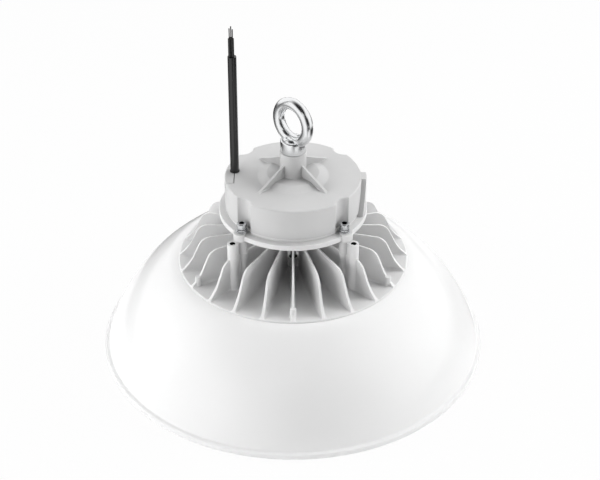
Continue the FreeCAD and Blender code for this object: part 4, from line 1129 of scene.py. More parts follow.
@dataclass
class Optics:
    """What shows from below: the ring, the glass, and the LEDs behind it."""

    window: float = 93.5
    window_bevel: float = 1.6
    ring: float = 109.0
    ring_edge: float = 0.9
    glass: float = 98.0
    glass_edge: float = 0.6
    glass_play: float = 0.4
    chip: float = 5.2
    chip_frame: float = 0.7
    chip_sunk: float = 0.12
    chip_rings: tuple[float, ...] = (24.0, 38.0, 52.0, 66.0)
    chips_inside: int = 8

    def chips(self) -> None:
        """Make square packages with a yellow window of phosphor."""
        low, high = span("led_chips")
        bm = bmesh.new()
        for number, radius in enumerate(self.chip_rings, start=1):
            ring = bmesh.new()
            verts = bmesh.ops.create_cube(ring, size=1.0)["verts"]
            bmesh.ops.scale(ring, verts=verts, vec=at(self.chip, self.chip, high - low))
            bmesh.ops.translate(ring, verts=verts, vec=at(radius, 0, (low + high) / 2))
            window = [face for face in ring.faces if round(face.normal.z) == -1]
            bmesh.ops.inset_region(
                ring,
                faces=window,
                thickness=self.chip_frame * MM,
                depth=-self.chip_sunk * MM,
            )
            window[0].material_index = 1
            repeat(ring, self.chips_inside * number)
            absorb(bm, ring)
        finish_piece(bm, "led_packages", "led_chips", LED_PACKAGE, PHOSPHOR)

    def cover(self) -> None:
        """Turn the glass disc and the ring that holds it."""
        low, high = span("glass_cover")
        bm = bmesh.new()
        bevel = self.glass_edge
        profile = [(0.0, low), (self.glass - bevel, low), (self.glass, low + bevel)]
        profile += [(self.glass, high), (0.0, high)]
        lathe(bm, profile, steps=192)
        finish_piece(bm, "cover_glass_disc", "glass_cover", TEMPERED_GLASS)
        bottom, top = span("lens_ring")
        bm = bmesh.new()
        seat = self.glass + self.glass_play
        profile = [(self.window + self.window_bevel, bottom)]
        profile += lower_edge(self.ring, bottom, self.ring_edge, 4)
        profile += [(self.ring, top), (seat, top), (seat, low)]
        profile += [(self.window, low), (self.window, bottom + self.window_bevel)]
        lathe(bm, profile, steps=192)
        finish_piece(bm, "glass_ring_turned", "lens_ring", POWDER_COAT)

    def build(self) -> None:
        """Make the optics, and give the flat inner pieces their finishes."""
        self.chips()
        self.cover()
        paint("led_board", SOLDER_MASK)
        paint("lens_gasket", SILICONE)
        paint("thermal_pad", GAP_PAD)


# ---------------------------------------------------------------------------------------
# Driver base and housing
# ---------------------------------------------------------------------------------------


@dataclass
class NotchedDisc:
    """A disc with a round notch at each diagonal, where a screw goes down."""

    radius: float
    notch: float = 13.0
    circle: float = 79.9
    chord_degrees: float = 2.0
    notch_steps: int = 14

    def plan(self) -> Profile:
        """Draw its plan.

        Returns:
            Corners, anticlockwise from the middle of the right side.
        """
        reach = (self.radius**2 - self.notch**2 + self.circle**2) / (2 * self.circle)
        half = math.degrees(math.acos(reach / self.radius))
        bite = math.degrees(math.acos((self.circle - reach) / self.notch))
        steps = round((90 - 2 * half) / self.chord_degrees)
        corners: Profile = []
        for quarter in range(4):
            middle = DIAGONAL + 90.0 * quarter
            start, end = middle - 90 + half, middle - half
            inward = middle + 180
            centre = on_circle(self.circle, middle)
            corners += arc((0.0, 0.0), self.radius, start, end, steps)[:-1]
            corners += arc(centre, self.notch, inward + bite, inward - bite, self.notch_steps)[:-1]
        return corners


@dataclass
class DriverBase:
    """Flange, ears on their legs, and the raised middle below the drum."""

    flange: float = 78.6
    bottom: float = 165.7
    top: float = 171.7
    rounding: float = 0.7
    plug: float = 70.6
    plug_top: float = 174.5
    ear_circle: float = 77.8
    ear_radius: float = 6.7
    ear_low: float = 164.6
    ear_top: float = 173.4
    edge: float = 0.6

    def build(self) -> None:
        """Cast the base."""
        bm = bmesh.new()
        lathe(bm, puck(self.flange, self.bottom, self.top, self.rounding, 4), steps=192)
        slab(bm, NotchedDisc(self.plug).plan(), self.top - OVERLAP, self.plug_top)
        ears = bmesh.new()
        ear = puck(self.ear_radius, self.ear_low, self.ear_top, self.edge, 3)
        lathe(ears, ear, steps=48, spot=(self.ear_circle, 0.0))
        leg = [(0.0, PILLAR_TOP), *lower_edge(PILLAR_RADIUS, PILLAR_TOP, self.edge, 3)]
        leg += [(PILLAR_RADIUS, self.bottom + OVERLAP), (0.0, self.bottom + OVERLAP)]
        lathe(ears, leg, steps=40, spot=(PILLAR_CIRCLE, 0.0))
        repeat(ears, 4, DIAGONAL)
        absorb(bm, ears)
        finish_piece(bm, "driver_base_casting", "driver_base", POWDER_COAT, weighted=True)


@dataclass
class DriverHousing:
    """The drum with its notches, boss, webs and lug, and the seat of the cord grip.

    platform is the section of the raised middle, and seat_zone the reach in X in which the
    drum's edge belongs to the seat.
    """

    foot: float = 175.3
    foot_edge: float = 0.4
    platform: tuple[Point, ...] = (
        (0.0, 208.0),
        (38.1, 208.0),
        (38.1, 209.0),
        (36.9, 209.15),
        (35.7, 209.6),
        (28.1, 212.75),
        (26.7, 213.0),
    )
    hub: float = 13.9
    hub_fillet: float = 1.8
    hub_edge: float = 0.6
    hub_top: float = 239.0
    web_reach: float = 50.0
    web_top: float = 226.5
    web_inset: float = 2.0
    web_sunk: float = 0.6
    web_toe: float = 0.3
    lug_reach: float = 77.2
    lug_foot: float = 172.1
    lug_head: float = 208.4
    lug_half_foot: float = 24.0
    lug_half_head: float = 7.0
    lug_edge: float = 0.8
    lug_slice: int = 2
    seat_face: float = -61.3
    seat_half: float = 25.0
    seat_floor: float = 193.0
    seat_zone: tuple[float, float] = (-72.3, -56.0)
    seat_front_margin: float = 1.0
    seat_rear_margin: float = 0.6

    def _seat_sides(self) -> tuple[float, float]:
        """The seat's front and rear side, in Y."""
        return CORD_SPOT[1] - self.seat_half, CORD_SPOT[1] + self.seat_half

    def upper_plan(self) -> Profile:
        """Draw the drum above the seat's floor: the circle, cut by the seat.

        Returns:
            Corners, anticlockwise.
        """
        low, high = self._seat_sides()
        front, rear = low - self.seat_front_margin, high + self.seat_rear_margin
        kept = [
            (x, y)
            for x, y in NotchedDisc(DRUM_RADIUS).plan()
            if not (x < self.seat_face - OVERLAP and front < y < rear)
        ]
        entry = (-math.sqrt(DRUM_RADIUS**2 - high**2), high)
        leave = (-math.sqrt(DRUM_RADIUS**2 - low**2), low)
        bite = math.degrees(math.acos((self.seat_face - CORD_SPOT[0]) / BUSH_RADIUS))
        groove = arc(CORD_SPOT, BUSH_RADIUS, bite, -bite, 12)
        seat = [entry, (self.seat_face, high), *groove, (self.seat_face, low), leave]
        place = next(k for k, (x, y) in enumerate(kept) if x < -DRUM_RADIUS / 2 and y < low)
        return kept[:place] + seat + kept[place:]

    def shell(self, bm: bmesh.types.BMesh) -> None:
        """Raise the drum in two storeys that meet at the seat's floor.

        Args:
            bm: the casting's mesh.
        """
        lower = bmesh.new()
        verts = slab(lower, NotchedDisc(DRUM_RADIUS).plan(), self.foot, self.seat_floor)
        rim = edges_where(verts, lambda a, b: max(a.z, b.z) < self.foot + SLACK)
        soften(lower, rim, self.foot_edge, 2)
        absorb(bm, lower)
        upper = bmesh.new()
        verts = slab(upper, self.upper_plan(), self.seat_floor, DRUM_TOP)
        crown = edges_where(
            verts, lambda a, b: min(a.z, b.z) > DRUM_TOP - SLACK and not self._by_seat(a, b)
        )
        soften(upper, crown, DRUM_ROUNDING, 4)
        absorb(bm, upper)

    def _by_seat(self, a: Vector, b: Vector) -> bool:
        """Tell whether an edge of the upper plan belongs to the seat.

        Args:
            a: one end.
            b: the other end.

        Returns:
            Whether it does.
        """
        low, high = self._seat_sides()
        left, right = self.seat_zone
        across = low - SLACK <= min(a.y, b.y) and max(a.y, b.y) <= high + SLACK
        along = left < min(a.x, b.x) and max(a.x, b.x) < right
        return across and along and nearer(a, b) < DRUM_RADIUS - SLACK

    def crown_parts(self, bm: bmesh.types.BMesh) -> None:
        """Turn the raised middle and the boss, and set the webs.

        Args:
            bm: the casting's mesh.
        """
        floor = self.platform[-1][1]
        corner = (self.hub + self.hub_fillet, floor + self.hub_fillet)
        profile = [*self.platform, *arc(corner, self.hub_fillet, 270, 180, 5)]
        profile += upper_edge(self.hub, self.hub_top, self.hub_edge, 3)
        profile += [(0.0, self.hub_top)]
        lathe(bm, profile, steps=128)
        inside, root = self.hub - self.web_inset, DRUM_TOP - self.web_sunk
        outline = [(inside, root), (self.web_reach + self.web_sunk, root)]
        outline += [(self.web_reach, DRUM_TOP + self.web_toe)]
        outline += [(self.hub, self.web_top), (inside, self.web_top)]
        webs = Rib(
            outline,
            root=DRUM_TOP,
            root_thickness=3.2,
            crest=self.web_top,
            crest_thickness=2.3,
            fillet=1.2,
            rounding=0.5,
        ).build()
        repeat(webs, 4, DIAGONAL)
        absorb(bm, webs)

    def lug(self, bm: bmesh.types.BMesh) -> None:
        """Shape the tapered lug on the right: a flat plate, sliced and bent with the drum.

        Args:
            bm: the casting's mesh.
        """
        part = bmesh.new()
        foot, head = self.lug_half_foot, self.lug_half_head
        corners = [
            at(0, -foot, self.lug_foot),
            at(0, foot, self.lug_foot),
            at(0, head, self.lug_head),
            at(0, -head, self.lug_head),
        ]
        extrude(part, corners, at(1, 0, 0))
        last = int(foot) - self.lug_slice
        for across in range(-last, last + 1, self.lug_slice):
            slice_at(part, at(0, across, 0), (0, 1, 0))
        for vert in part.verts:
            reach = self.lug_reach if vert.co.x > MM / 2 else DRUM_RADIUS - OVERLAP
            vert.co.x = math.sqrt(reach**2 - (vert.co.y / MM) ** 2) * MM
        soften(part, edges_where(part.verts, self._on_lug_rim), self.lug_edge, 3)
        absorb(bm, part)

    def _on_lug_rim(self, a: Vector, b: Vector) -> bool:
        """Tell whether an edge runs along the outline of the lug's outer face.

        Args:
            a: one end.
            b: the other end.

        Returns:
            Whether it does.
        """
        if nearer(a, b) < self.lug_reach - 10 * SLACK or abs(a.y - b.y) < SLACK:
            return False
        level = abs(a.z - b.z) < SLACK
        sloping = abs(a.y) > self.lug_half_head - 10 * SLACK
        return (level or sloping) and self._on_lug_outline(a) and self._on_lug_outline(b)

    def _on_lug_outline(self, point: Vector) -> bool:
        """Tell whether a point lies on the lug's outline.

        Args:
            point: a point of its outer face.

        Returns:
            Whether it does.
        """
        rise = (point.z - self.lug_foot) / (self.lug_head - self.lug_foot)
        half = self.lug_half_foot + (self.lug_half_head - self.lug_half_foot) * rise
        level = min(abs(point.z - self.lug_foot), abs(point.z - self.lug_head)) < SLACK
        return level or abs(abs(point.y) - half) < 2 * SLACK

    def build(self) -> None:
        """Cast the housing."""
        bm = bmesh.new()
        self.shell(bm)
        self.crown_parts(bm)
        self.lug(bm)
        # The drum's greyer coat and its darker corners are painted shade.
        coats = (SHADED_DRUM_COAT, SHADED_DRUM_CREST)
        finish_piece(bm, "driver_housing_casting", "driver_housing", *coats, weighted=True)


@dataclass
class CordGrip:
    """The block let into the drum's left side, with its two sunk screws."""

    face: float = -62.2
    half: float = 24.3
    bottom: float = 193.2
    screw_side: float = 16.0
    bore_level: float = 201.0
    bore: float = 3.4
    bore_depth: float = 2.2
    cutter: float = 14.0
    screw_head: float = 2.4
    screw_length: float = 8.0

    def plan(self) -> Profile:
        """Draw the block: the drum's own curve outside, the groove inside.

        Returns:
            Corners, anticlockwise.
        """
        low, high = CORD_SPOT[1] - self.half, CORD_SPOT[1] + self.half
        first = math.degrees(math.atan2(high, -math.sqrt(DRUM_RADIUS**2 - high**2)))
        last = 360 + math.degrees(math.atan2(low, -math.sqrt(DRUM_RADIUS**2 - low**2)))
        bite = math.degrees(math.acos((self.face - CORD_SPOT[0]) / BUSH_RADIUS))
        outer = arc((0.0, 0.0), DRUM_RADIUS, first, last, 20)
        groove = arc(CORD_SPOT, BUSH_RADIUS, 360 - bite, bite, 10)
        return outer + [(self.face, low)] + groove + [(self.face, high)]

    def _bored(self, block: bpy.types.Object) -> bmesh.types.BMesh:
        """Bore the block for its screws, and use it up.

        Args:
            block: the plain block.

        Returns:
            The bored mesh.
        """
        cutters = bmesh.new()
        radius = self.bore * MM
        for side in (-1, 1):
            verts = bmesh.ops.create_cone(
                cutters,
                cap_ends=True,
                segments=40,
                radius1=radius,
                radius2=radius,
                depth=self.cutter * MM,
            )["verts"]
            swing(cutters, verts, 90, "Y")
            x = self.face - self.bore_depth - self.cutter / 2
            spot = at(x, CORD_SPOT[1] + side * self.screw_side, self.bore_level)
            bmesh.ops.translate(cutters, verts=verts, vec=spot)
        tool = as_object(cutters, "cord_grip_bores")
        cut = block.modifiers.new("bores", "BOOLEAN")
        cut.object = tool
        cut.solver = "EXACT"
        view = bpy.context.evaluated_depsgraph_get()
        bored = bmesh.new()
        bored.from_mesh(bpy.data.meshes.new_from_object(block.evaluated_get(view)))
        for thing in (block, tool):
            bpy.data.objects.remove(thing)
        return bored

    def screws(self) -> None:
        """Set the two screws at the bottom of their bores."""
        bm = bmesh.new()
        for side in (-1, 1):
            screw = SocketScrew(
                (0.0, 0.0),
                seat=0.0,
                crown=self.screw_head,
                tip=-self.screw_length,
                head=2.8,
                shank=1.45,
                key=1.4,
                facets=40,
            ).build()
            swing(screw, screw.verts, -90, "Y")
            x, y = self.face - self.bore_depth, CORD_SPOT[1] + side * self.screw_side
            bmesh.ops.translate(screw, verts=screw.verts, vec=at(x, y, self.bore_level))
            absorb(bm, screw)
        finish_piece(bm, "cord_grip_cap_screws", "cord_grip_screws", ZINC_PLATE)

    def build(self) -> None:
        """Cast the block, bore it and set its screws."""
        bm = bmesh.new()
        verts = slab(bm, self.plan(), self.bottom, DRUM_TOP)
        crown = edges_where(
            verts,
            lambda a, b: min(a.z, b.z) > DRUM_TOP - SLACK and nearer(a, b) > DRUM_RADIUS - SLACK,
        )
        soften(bm, crown, DRUM_ROUNDING, 4)
        bored = self._bored(as_object(bm, "cord_grip_block"))
        # The block takes the drum's greyer coat, which is painted shade.
        finish_piece(bored, "cord_grip_casting", "cord_grip", SHADED_DRUM_COAT, weighted=True)
        self.screws()


# ---------------------------------------------------------------------------------------
# Fasteners
# ---------------------------------------------------------------------------------------


@dataclass(frozen=True)
class HiddenScrews:
    """Equal screws on a circle, driven from below: head_height is how tall their heads are."""

    name: str
    node: str
    circle: float
    head_height: float
    head: float
    shank: float
    key: float
    count: int
    start: float

    def build(self) -> None:
        """Set the ring of screws."""
        low, high = span(self.node)
        seat = low + self.head_height
        spot = (self.circle, 0.0)
        bm = SocketScrew(spot, seat, low, high, self.head, self.shank, self.key).build()
        repeat(bm, self.count, self.start)
        finish_piece(bm, self.name, self.node, ZINC_PLATE)


@dataclass
class Fasteners:
    """Screws and washers, one piece for each ring of them."""

    circle: float = 75.0
    washer_bore: float = 3.2
    washer: float = 6.1
    washer_edge: float = 0.25
    spring_bore: float = 3.1
    spring: float = 5.3
    spring_rise: float = 0.3
    spring_gap: float = 10.0
    spring_steps: int = 48
    hidden: tuple[HiddenScrews, ...] = (
        HiddenScrews(
            "reflector_cap_screws",
            "reflector_screws",
            circle=BOSS_CIRCLE,
            head_height=2.4,
            head=3.1,
            shank=1.65,
            key=1.5,
            count=6,
            start=30.0,
        ),
        HiddenScrews(
            "glass_ring_cap_screws",
            "lens_ring_screws",
            circle=103.6,
            head_height=2.2,
            head=3.4,
            shank=1.25,
            key=1.5,
            count=8,
            start=DIAGONAL,
        ),
        HiddenScrews(
            "board_cap_screws",
            "board_screws",
            circle=80.0,
            head_height=1.6,
            head=2.6,
            shank=1.25,
            key=1.2,
            count=6,
            start=DIAGONAL,
        ),
        HiddenScrews(
            "drum_cap_screws",
            "drum_screws",
            circle=60.0,
            head_height=2.6,
            head=3.6,
            shank=1.65,
            key=1.6,
            count=4,
            start=65.0,
        ),
    )

    def mounting_screws(self) -> None:
        """Set the four knurled screws in the drum's notches."""
        low, high = span("mounting_screws")
        bm = SocketScrew(
            (self.circle, 0.0),
            seat=span("spring_washers")[1],
            crown=high,
            tip=low,
            head=5.0,
            shank=2.55,
            key=3.1,
            knurl=0.12,
            facets=72,
        ).build()
        repeat(bm, 4, DIAGONAL)
        finish_piece(bm, "mounting_cap_screws", "mounting_screws", ZINC_PLATE)

    def plain_washers(self) -> None:
        """Turn the plain washers."""
        low, high = span("flat_washers")
        bore, radius, edge = self.washer_bore, self.washer, self.washer_edge
        bm = bmesh.new()
        profile = [(bore, low), (radius - edge, low), (radius, low + edge)]
        profile += [(radius, high - edge), (radius - edge, high), (bore, high)]
        lathe(bm, profile, steps=64, spot=(self.circle, 0.0))
        repeat(bm, 4, DIAGONAL)
        finish_piece(bm, "plain_washers", "flat_washers", ZINC_PLATE)

    def spring_washers(self) -> None:
        """Sweep the split washers, which rise by a step from end to end."""
        low, high = span("spring_washers")
        high -= self.spring_rise
        bm = bmesh.new()
        centre = at(self.circle, 0, 0)
        section = ((self.spring_bore, low), (self.spring, low))
        section += ((self.spring, high), (self.spring_bore, high))
        corners = [bm.verts.new(centre + at(r, 0, z)) for r, z in section]
        face = bm.faces.new(corners)
        swing(bm, corners, self.spring_gap / 2, centre=centre)
        bmesh.ops.spin(
            bm,
            geom=[face, *face.edges, *face.verts],
            cent=centre,
            axis=(0, 0, 1),
            dvec=at(0, 0, self.spring_rise / self.spring_steps),
            angle=FULL_TURN - math.radians(self.spring_gap),
            steps=self.spring_steps,
        )
        repeat(bm, 4, DIAGONAL)
        finish_piece(bm, "split_spring_washers", "spring_washers", ZINC_PLATE)

    def build(self) -> None:
        """Set every fastener."""
        self.mounting_screws()
        self.plain_washers()
        self.spring_washers()
        for ring in self.hidden:
            ring.build()


# ---------------------------------------------------------------------------------------
# Lifting eye
# ---------------------------------------------------------------------------------------


@dataclass
class LiftingEye:
    """Stud, collar and ring, forged in one.

    neck holds the ends of the hollow curve from the collar's top to the ring's foot, as
    radius and height above the collar.
    """

    stud: float = 5.9
    stud_low: float = 220.0
    stud_point: float = 1.0
    seat: float = 239.0
    collar: float = 13.35
    collar_foot: float = 0.8
    collar_edge: float = 1.8
    collar_top: float = 252.7
    neck: tuple[Point, Point] = ((10.2, 0.1), (6.4, 2.6))
    neck_bend: float = 5.0
    neck_top: float = 2.8
    centre: float = 272.4
    ring: float = 20.75
    section: float = 6.1
    facing: float = -45.0

    def build(self) -> None:
        """Forge the eye."""
        bm = bmesh.new()
        point, top = self.stud_point, self.collar_top
        start, end = ((radius, top + above) for radius, above in self.neck)
        profile = [(0.0, self.stud_low), (self.stud - point, self.stud_low)]
        profile += [(self.stud, self.stud_low + point), (self.stud, self.seat)]
        profile += lower_edge(self.collar, self.seat, self.collar_foot, 4)
        profile += upper_edge(self.collar, top, self.collar_edge, 6)
        profile += arc_between(start, end, self.neck_bend, True, 5)
        profile += [(0.0, top + self.neck_top)]
        lathe(bm, profile, steps=128)
        ring = bmesh.new()
        verts = bmesh.ops.create_circle(ring, segments=48, radius=self.section * MM)["verts"]
        bmesh.ops.translate(ring, verts=verts, vec=at(self.ring, 0, self.centre))
        bmesh.ops.spin(
            ring,
            geom=[*ring.verts, *ring.edges],
            cent=at(0, 0, self.centre),
            axis=(0, 1, 0),
            angle=FULL_TURN,
            steps=144,
            use_merge=True,
        )
        absorb(bm, ring)
        swing(bm, bm.verts, self.facing)
        finish_piece(bm, "lifting_eye_forging", "eye_bolt", CHROME_PLATE)


# ---------------------------------------------------------------------------------------
# Cord and wiring
# ---------------------------------------------------------------------------------------


@dataclass(frozen=True)
class Sleeve:
    """A rubber sleeve: its bore, its body, and a rounded collar of some height on top."""

    name: str
    node: str
    bore: float
    body: float
    collar: float
    height: float = 0.0
    edge: float = 0.6

    def build(self) -> None:
        """Turn the sleeve."""
        bottom, top = span(self.node)
        profile = [(self.bore, bottom), (self.body, bottom)]
        if self.collar > self.body:
            profile += [(self.body, top - self.height), (self.collar, top - self.height)]
        profile += upper_edge(self.collar, top, self.edge, 4)
        profile += [(self.bore, top)]
        bm = bmesh.new()
        lathe(bm, profile, steps=48, spot=stance(self.node)[0])
        finish_piece(bm, self.name, self.node, MOULDED_RUBBER)


@dataclass
class Cord:
    """The short cord, with its stripped end, its bush and the lead of the LEDs."""

    middle: float = 276.0
    end: float = 343.0
    radius: float = 4.5
    strands: int = 7
    strands_across: int = 3
    strand_step: float = 0.25
    core_edge: float = 0.2
    core_edge_share: float = 0.3
    sleeves: tuple[Sleeve, ...] = (
        Sleeve("cord_bush", "cable_bush", bore=4.5, body=BUSH_RADIUS, collar=5.1, height=1.6),
        Sleeve("lead_grommet_low", "heat_sink_grommet", bore=2.85, body=4.3, collar=4.3),
        Sleeve("lead_grommet_high", "base_grommet", bore=2.85, body=5.0, collar=6.4, height=2.0),
    )

    def rod(self, name: str, node: str) -> bpy.types.Object:
        """Make a core: an upright rod with a softened end, as large as its CAD node.

        Args:
            name: the piece's name.
            node: the CAD node.

        Returns:
            The piece.
        """
        spot, radius = stance(node)
        low, high = span(node)
        profile = [(0.0, low), (radius, low)]
        edge = min(self.core_edge, radius * self.core_edge_share)
        profile += upper_edge(radius, high, edge, 3)
        profile += [(0.0, high)]
        bm = bmesh.new()
        lathe(bm, profile, steps=32, spot=spot)
        return finish_piece(bm, name, node, CORE_PVC)

    def strand_bundle(self, name: str, node: str) -> bpy.types.Object:
        """Make a bare wire: fine strands laid round one in the middle, cut unevenly.

        Args:
            name: the piece's name.
            node: the CAD node.

        Returns:
            The piece.
        """
        spot, radius = stance(node)
        low, high = span(node)
        fine = radius / self.strands_across
        bm = bmesh.new()
        for number in range(self.strands):
            x, y = on_circle(radius - fine if number else 0.0, 360 / (self.strands - 1) * number)
            top = high - self.strand_step * (number % self.strands_across)
            profile = [(0.0, low), (fine, low), (fine, top), (0.0, top)]
            lathe(bm, profile, steps=10, spot=(spot[0] + x, spot[1] + y))
        return finish_piece(bm, name, node, COPPER)

    def jacket(self) -> None:
        """Run the jacket straight from the bush to the stripped end.
        """
        curve = bpy.data.curves.new("cord_jacket", "CURVE")
        curve.dimensions = "3D"
        curve.bevel_depth = self.radius * MM
        curve.bevel_resolution = 8
        curve.use_fill_caps = True
        route = [at(*CORD_SPOT, height) for height in (DRUM_TOP, self.middle, self.end)]
        spline = curve.splines.new("NURBS")
        spline.points.add(len(route) - 1)
        for point, place in zip(spline.points, route):
            point.co = (*place, 1.0)
        spline.order_u = 3
        spline.use_endpoint_u = True
        spline.resolution_u = 12
        curve.materials.append(CORD_RUBBER.material())
        piece = linked("cord_jacket", curve)
        settle(piece, "cable_jacket")

    def build(self) -> None:
        """Make the cord and everything rubber."""
        for core in ("live", "neutral", "earth"):
            self.rod(f"{core}_insulation", f"{core}_core")
            self.strand_bundle(f"{core}_strands", f"{core}_wire")
        self.jacket()
        for sleeve in self.sleeves:
            sleeve.build()
        for node, finish in (
            ("cable_inner_end", CORD_RUBBER),
            ("led_lead", CORD_RUBBER),
            ("led_driver", POTTING),
            ("terminal_block", NYLON),
            ("mains_leads", CORE_PVC),
            ("driver_leads", CORE_PVC),
            ("base_gasket", SILICONE),
        ):
            paint(node, finish)


# ---------------------------------------------------------------------------------------
# Studio
# ---------------------------------------------------------------------------------------


def seen(tree: bpy.types.NodeTree) -> bpy.types.NodeSocket:
    """Tell the camera's rays from those that light the object.

    Args:
        tree: the node tree.

    Returns:
        One for rays from the camera, straight or by way of metal or glass, else zero.
    """
    path = add_node(tree, "ShaderNodeLightPath").outputs
    mirrored = add_node(
        tree,
        "ShaderNodeMath",
        {"operation": "MAXIMUM"},
        {0: path["Is Glossy Ray"], 1: path["Is Transmission Ray"]},
    )
    either = add_node(
        tree,
        "ShaderNodeMath",
        {"operation": "MAXIMUM"},
        {0: path["Is Camera Ray"], 1: mirrored.outputs["Value"]},
    )
    return either.outputs["Value"]


class SoftBox(Enum):
    """Each soft box: its direction from the light, its width in metres and its watts."""

    LEFT = ((-1.0, 0.0, 0.3), 1.0, 14.5)
    RIGHT = ((1.0, 0.0, 0.3), 1.0, 13.0)
    UPPER_RIGHT = ((0.8, 0.2, 1.0), 1.2, 10.5)
    BACK = ((0.1, 0.9, 1.0), 1.2, 2.5)
    BACK_LEFT = ((-0.6, 0.6, 1.2), 1.0, 7.5)
    BACK_RIGHT = ((0.6, 0.6, 1.2), 1.0, 8.0)
    FRONT_LEFT = ((-0.7, -0.7, 0.3), 1.0, 14.0)
    FRONT_RIGHT = ((0.7, -0.7, 0.3), 1.0, 5.8)


@dataclass(frozen=True)
class Card:
    """A black card with a soft edge, which only polished metal shows.

    centre and reach, half its width and height, are in metres.
    """

    name: str
    centre: Place
    reach: Point
    upright: bool = False
    fade_end: float = 0.5
    darkest: float = 0.01

    def velvet(self) -> bpy.types.Material:
        """Make its material: black in the middle, fading to the white of the room.

        Returns:
            The material.
        """
        material = bpy.data.materials.new(f"{self.name}_velvet")
        tree = fresh_tree(material)
        wide, tall = 1 / self.reach[0], 1 / self.reach[1]
        share = (wide, 1.0, tall) if self.upright else (wide, tall, 1.0)
        mapping = add_node(
            tree,
            "ShaderNodeMapping",
            {"Scale": share, "Location": tuple(-c * k for c, k in zip(self.centre, share))},
            {"Vector": add_node(tree, "ShaderNodeTexCoord").outputs["Object"]},
        )
        middle = add_node(
            tree,
            "ShaderNodeTexGradient",
            {"gradient_type": "SPHERICAL"},
            {"Vector": mapping.outputs["Vector"]},
        )
        fade = add_node(
            tree,
            "ShaderNodeMapRange",
            {
                "interpolation_type": "SMOOTHSTEP",
                "From Max": self.fade_end,
                "To Min": 1.0,
                "To Max": self.darkest,
            },
            {"Value": middle.outputs["Fac"]},
        )
        glow = add_node(
            tree, "ShaderNodeEmission", {"Color": WHITE}, {"Strength": fade.outputs["Result"]}
        )
        add_node(tree, "ShaderNodeOutputMaterial", links={"Surface": glow.outputs["Emission"]})
        return material

    def build(self) -> None:
        """Hang the card."""
        bm = bmesh.new()
        bmesh.ops.create_grid(bm, x_segments=1, y_segments=1, size=1.0)
        bmesh.ops.scale(bm, verts=bm.verts, vec=(*self.reach, 1.0))
        if self.upright:
            swing(bm, bm.verts, 90, "X")
        bmesh.ops.translate(bm, verts=bm.verts, vec=self.centre)
        piece = as_object(bm, self.name)
        piece.data.materials.append(self.velvet())
        piece.visible_camera = False
        piece.visible_diffuse = False
        piece.visible_shadow = False
        piece.visible_transmission = False


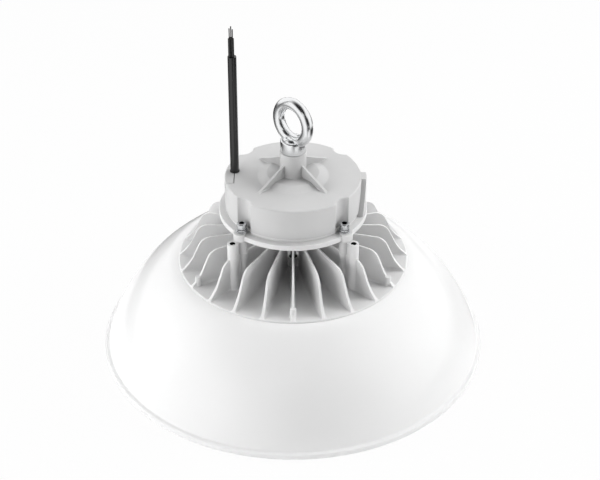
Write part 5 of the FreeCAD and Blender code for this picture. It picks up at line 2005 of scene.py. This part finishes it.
@dataclass
class Studio:
    """A white floor and room, soft boxes, black cards, and the camera.  Lengths in metres."""

    camera_place: Place = (0.0, -1.32778, 1.0126)
    camera_tilt: float = 56.3
    camera_reach: tuple[float, float] = (0.05, 50.0)
    lens: float = 88.6
    sensor: float = 36.0
    shift: float = 0.0115
    lamp_target: Place = (0.0, 0.0, 0.14)
    lamp_distance: float = 1.9
    floor_size: float = 12.0
    floor_colour: str = "F0F0F0"
    floor_roughness: float = 0.9
    floor_glow: float = 0.95
    room_light: float = 0.03
    cards: tuple[Card, ...] = (
        Card("card_above_front", (-0.35, -1.6, 1.9), (2.1, 3.0)),
        Card("card_front", (1.1, -1.9, 0.75), (1.9, 2.2), upright=True),
        Card("card_front_floor", (0.5, -0.9, 0.008), (0.8, 1.1)),
        Card("card_right_floor", (0.62, 0.0, 0.012), (0.52, 0.55)),
        Card("card_back_floor", (0.0, 1.1, 0.004), (2.4, 1.6)),
    )

    def camera(self) -> None:
        """Set the camera."""
        data = bpy.data.cameras.new("studio_camera")
        data.lens = self.lens
        data.sensor_width = self.sensor
        data.shift_x = self.shift
        data.clip_start, data.clip_end = self.camera_reach
        camera = linked("studio_camera", data)
        camera.location = self.camera_place
        camera.rotation_euler = (math.radians(self.camera_tilt), 0.0, 0.0)
        bpy.context.scene.camera = camera

    def lamps(self) -> None:
        """Hang the soft boxes, each turned to the middle of the light."""
        for box in SoftBox:
            place, size, power = box.value
            name = f"soft_box_{box.name.lower()}"
            data = bpy.data.lights.new(name, "AREA")
            data.shape = "SQUARE"
            data.size = size
            data.energy = power
            lamp = linked(name, data)
            direction = Vector(place).normalized()
            lamp.location = Vector(self.lamp_target) + direction * self.lamp_distance
            lamp.rotation_euler = direction.to_track_quat("Z", "Y").to_euler()
            lamp.visible_glossy = False

    def floor(self) -> None:
        """Lay a white floor that keeps a faint shadow."""
        bm = bmesh.new()
        bmesh.ops.create_grid(bm, x_segments=1, y_segments=1, size=self.floor_size / 2)
        piece = as_object(bm, "studio_floor")
        if piece.data.polygons[0].normal.z < 0:
            piece.data.flip_normals()
        material = bpy.data.materials.new("paper_backdrop_white")
        tree = fresh_tree(material)
        matt = add_node(
            tree,
            "ShaderNodeBsdfPrincipled",
            {
                "Base Color": linear(self.floor_colour),
                "Roughness": self.floor_roughness,
                "Specular IOR Level": 0.0,
            },
        )
        glow = add_node(tree, "ShaderNodeEmission", {"Color": WHITE, "Strength": 1.0})
        share = add_node(
            tree,
            "ShaderNodeMath",
            {"operation": "MULTIPLY", 0: self.floor_glow},
            {1: seen(tree)},
        )
        mix = add_node(
            tree,
            "ShaderNodeMixShader",
            links={
                0: share.outputs["Value"],
                1: matt.outputs["BSDF"],
                2: glow.outputs["Emission"],
            },
        )
        add_node(tree, "ShaderNodeOutputMaterial", links={"Surface": mix.outputs["Shader"]})
        piece.data.materials.append(material)

    def world(self) -> None:
        """Show white behind the object, and light it from a soft grey room."""
        world = bpy.data.worlds.new("studio_room")
        bpy.context.scene.world = world
        tree = fresh_tree(world)
        room, white = (
            add_node(tree, "ShaderNodeBackground", {"Color": WHITE, "Strength": strength})
            for strength in (self.room_light, 1.0)
        )
        mix = add_node(
            tree,
            "ShaderNodeMixShader",
            links={
                0: seen(tree),
                1: room.outputs["Background"],
                2: white.outputs["Background"],
            },
        )
        add_node(tree, "ShaderNodeOutputWorld", links={"Surface": mix.outputs["Shader"]})

    def build(self) -> None:
        """Set up the studio."""
        self.camera()
        self.lamps()
        for card in self.cards:
            card.build()
        self.floor()
        self.world()
        bpy.context.scene.view_settings.view_transform = "Standard"


def main() -> None:
    """Build the light and its studio."""
    logging.basicConfig(level=logging.INFO, format="%(name)s %(message)s")
    for assembly in (
        Reflector(),
        HeatSink(),
        Optics(),
        DriverBase(),
        DriverHousing(),
        CordGrip(),
        Fasteners(),
        LiftingEye(),
        Cord(),
        Studio(),
    ):
        assembly.build()
        LOG.info("%s done", type(assembly).__name__)


if __name__ == "__main__":
    main()
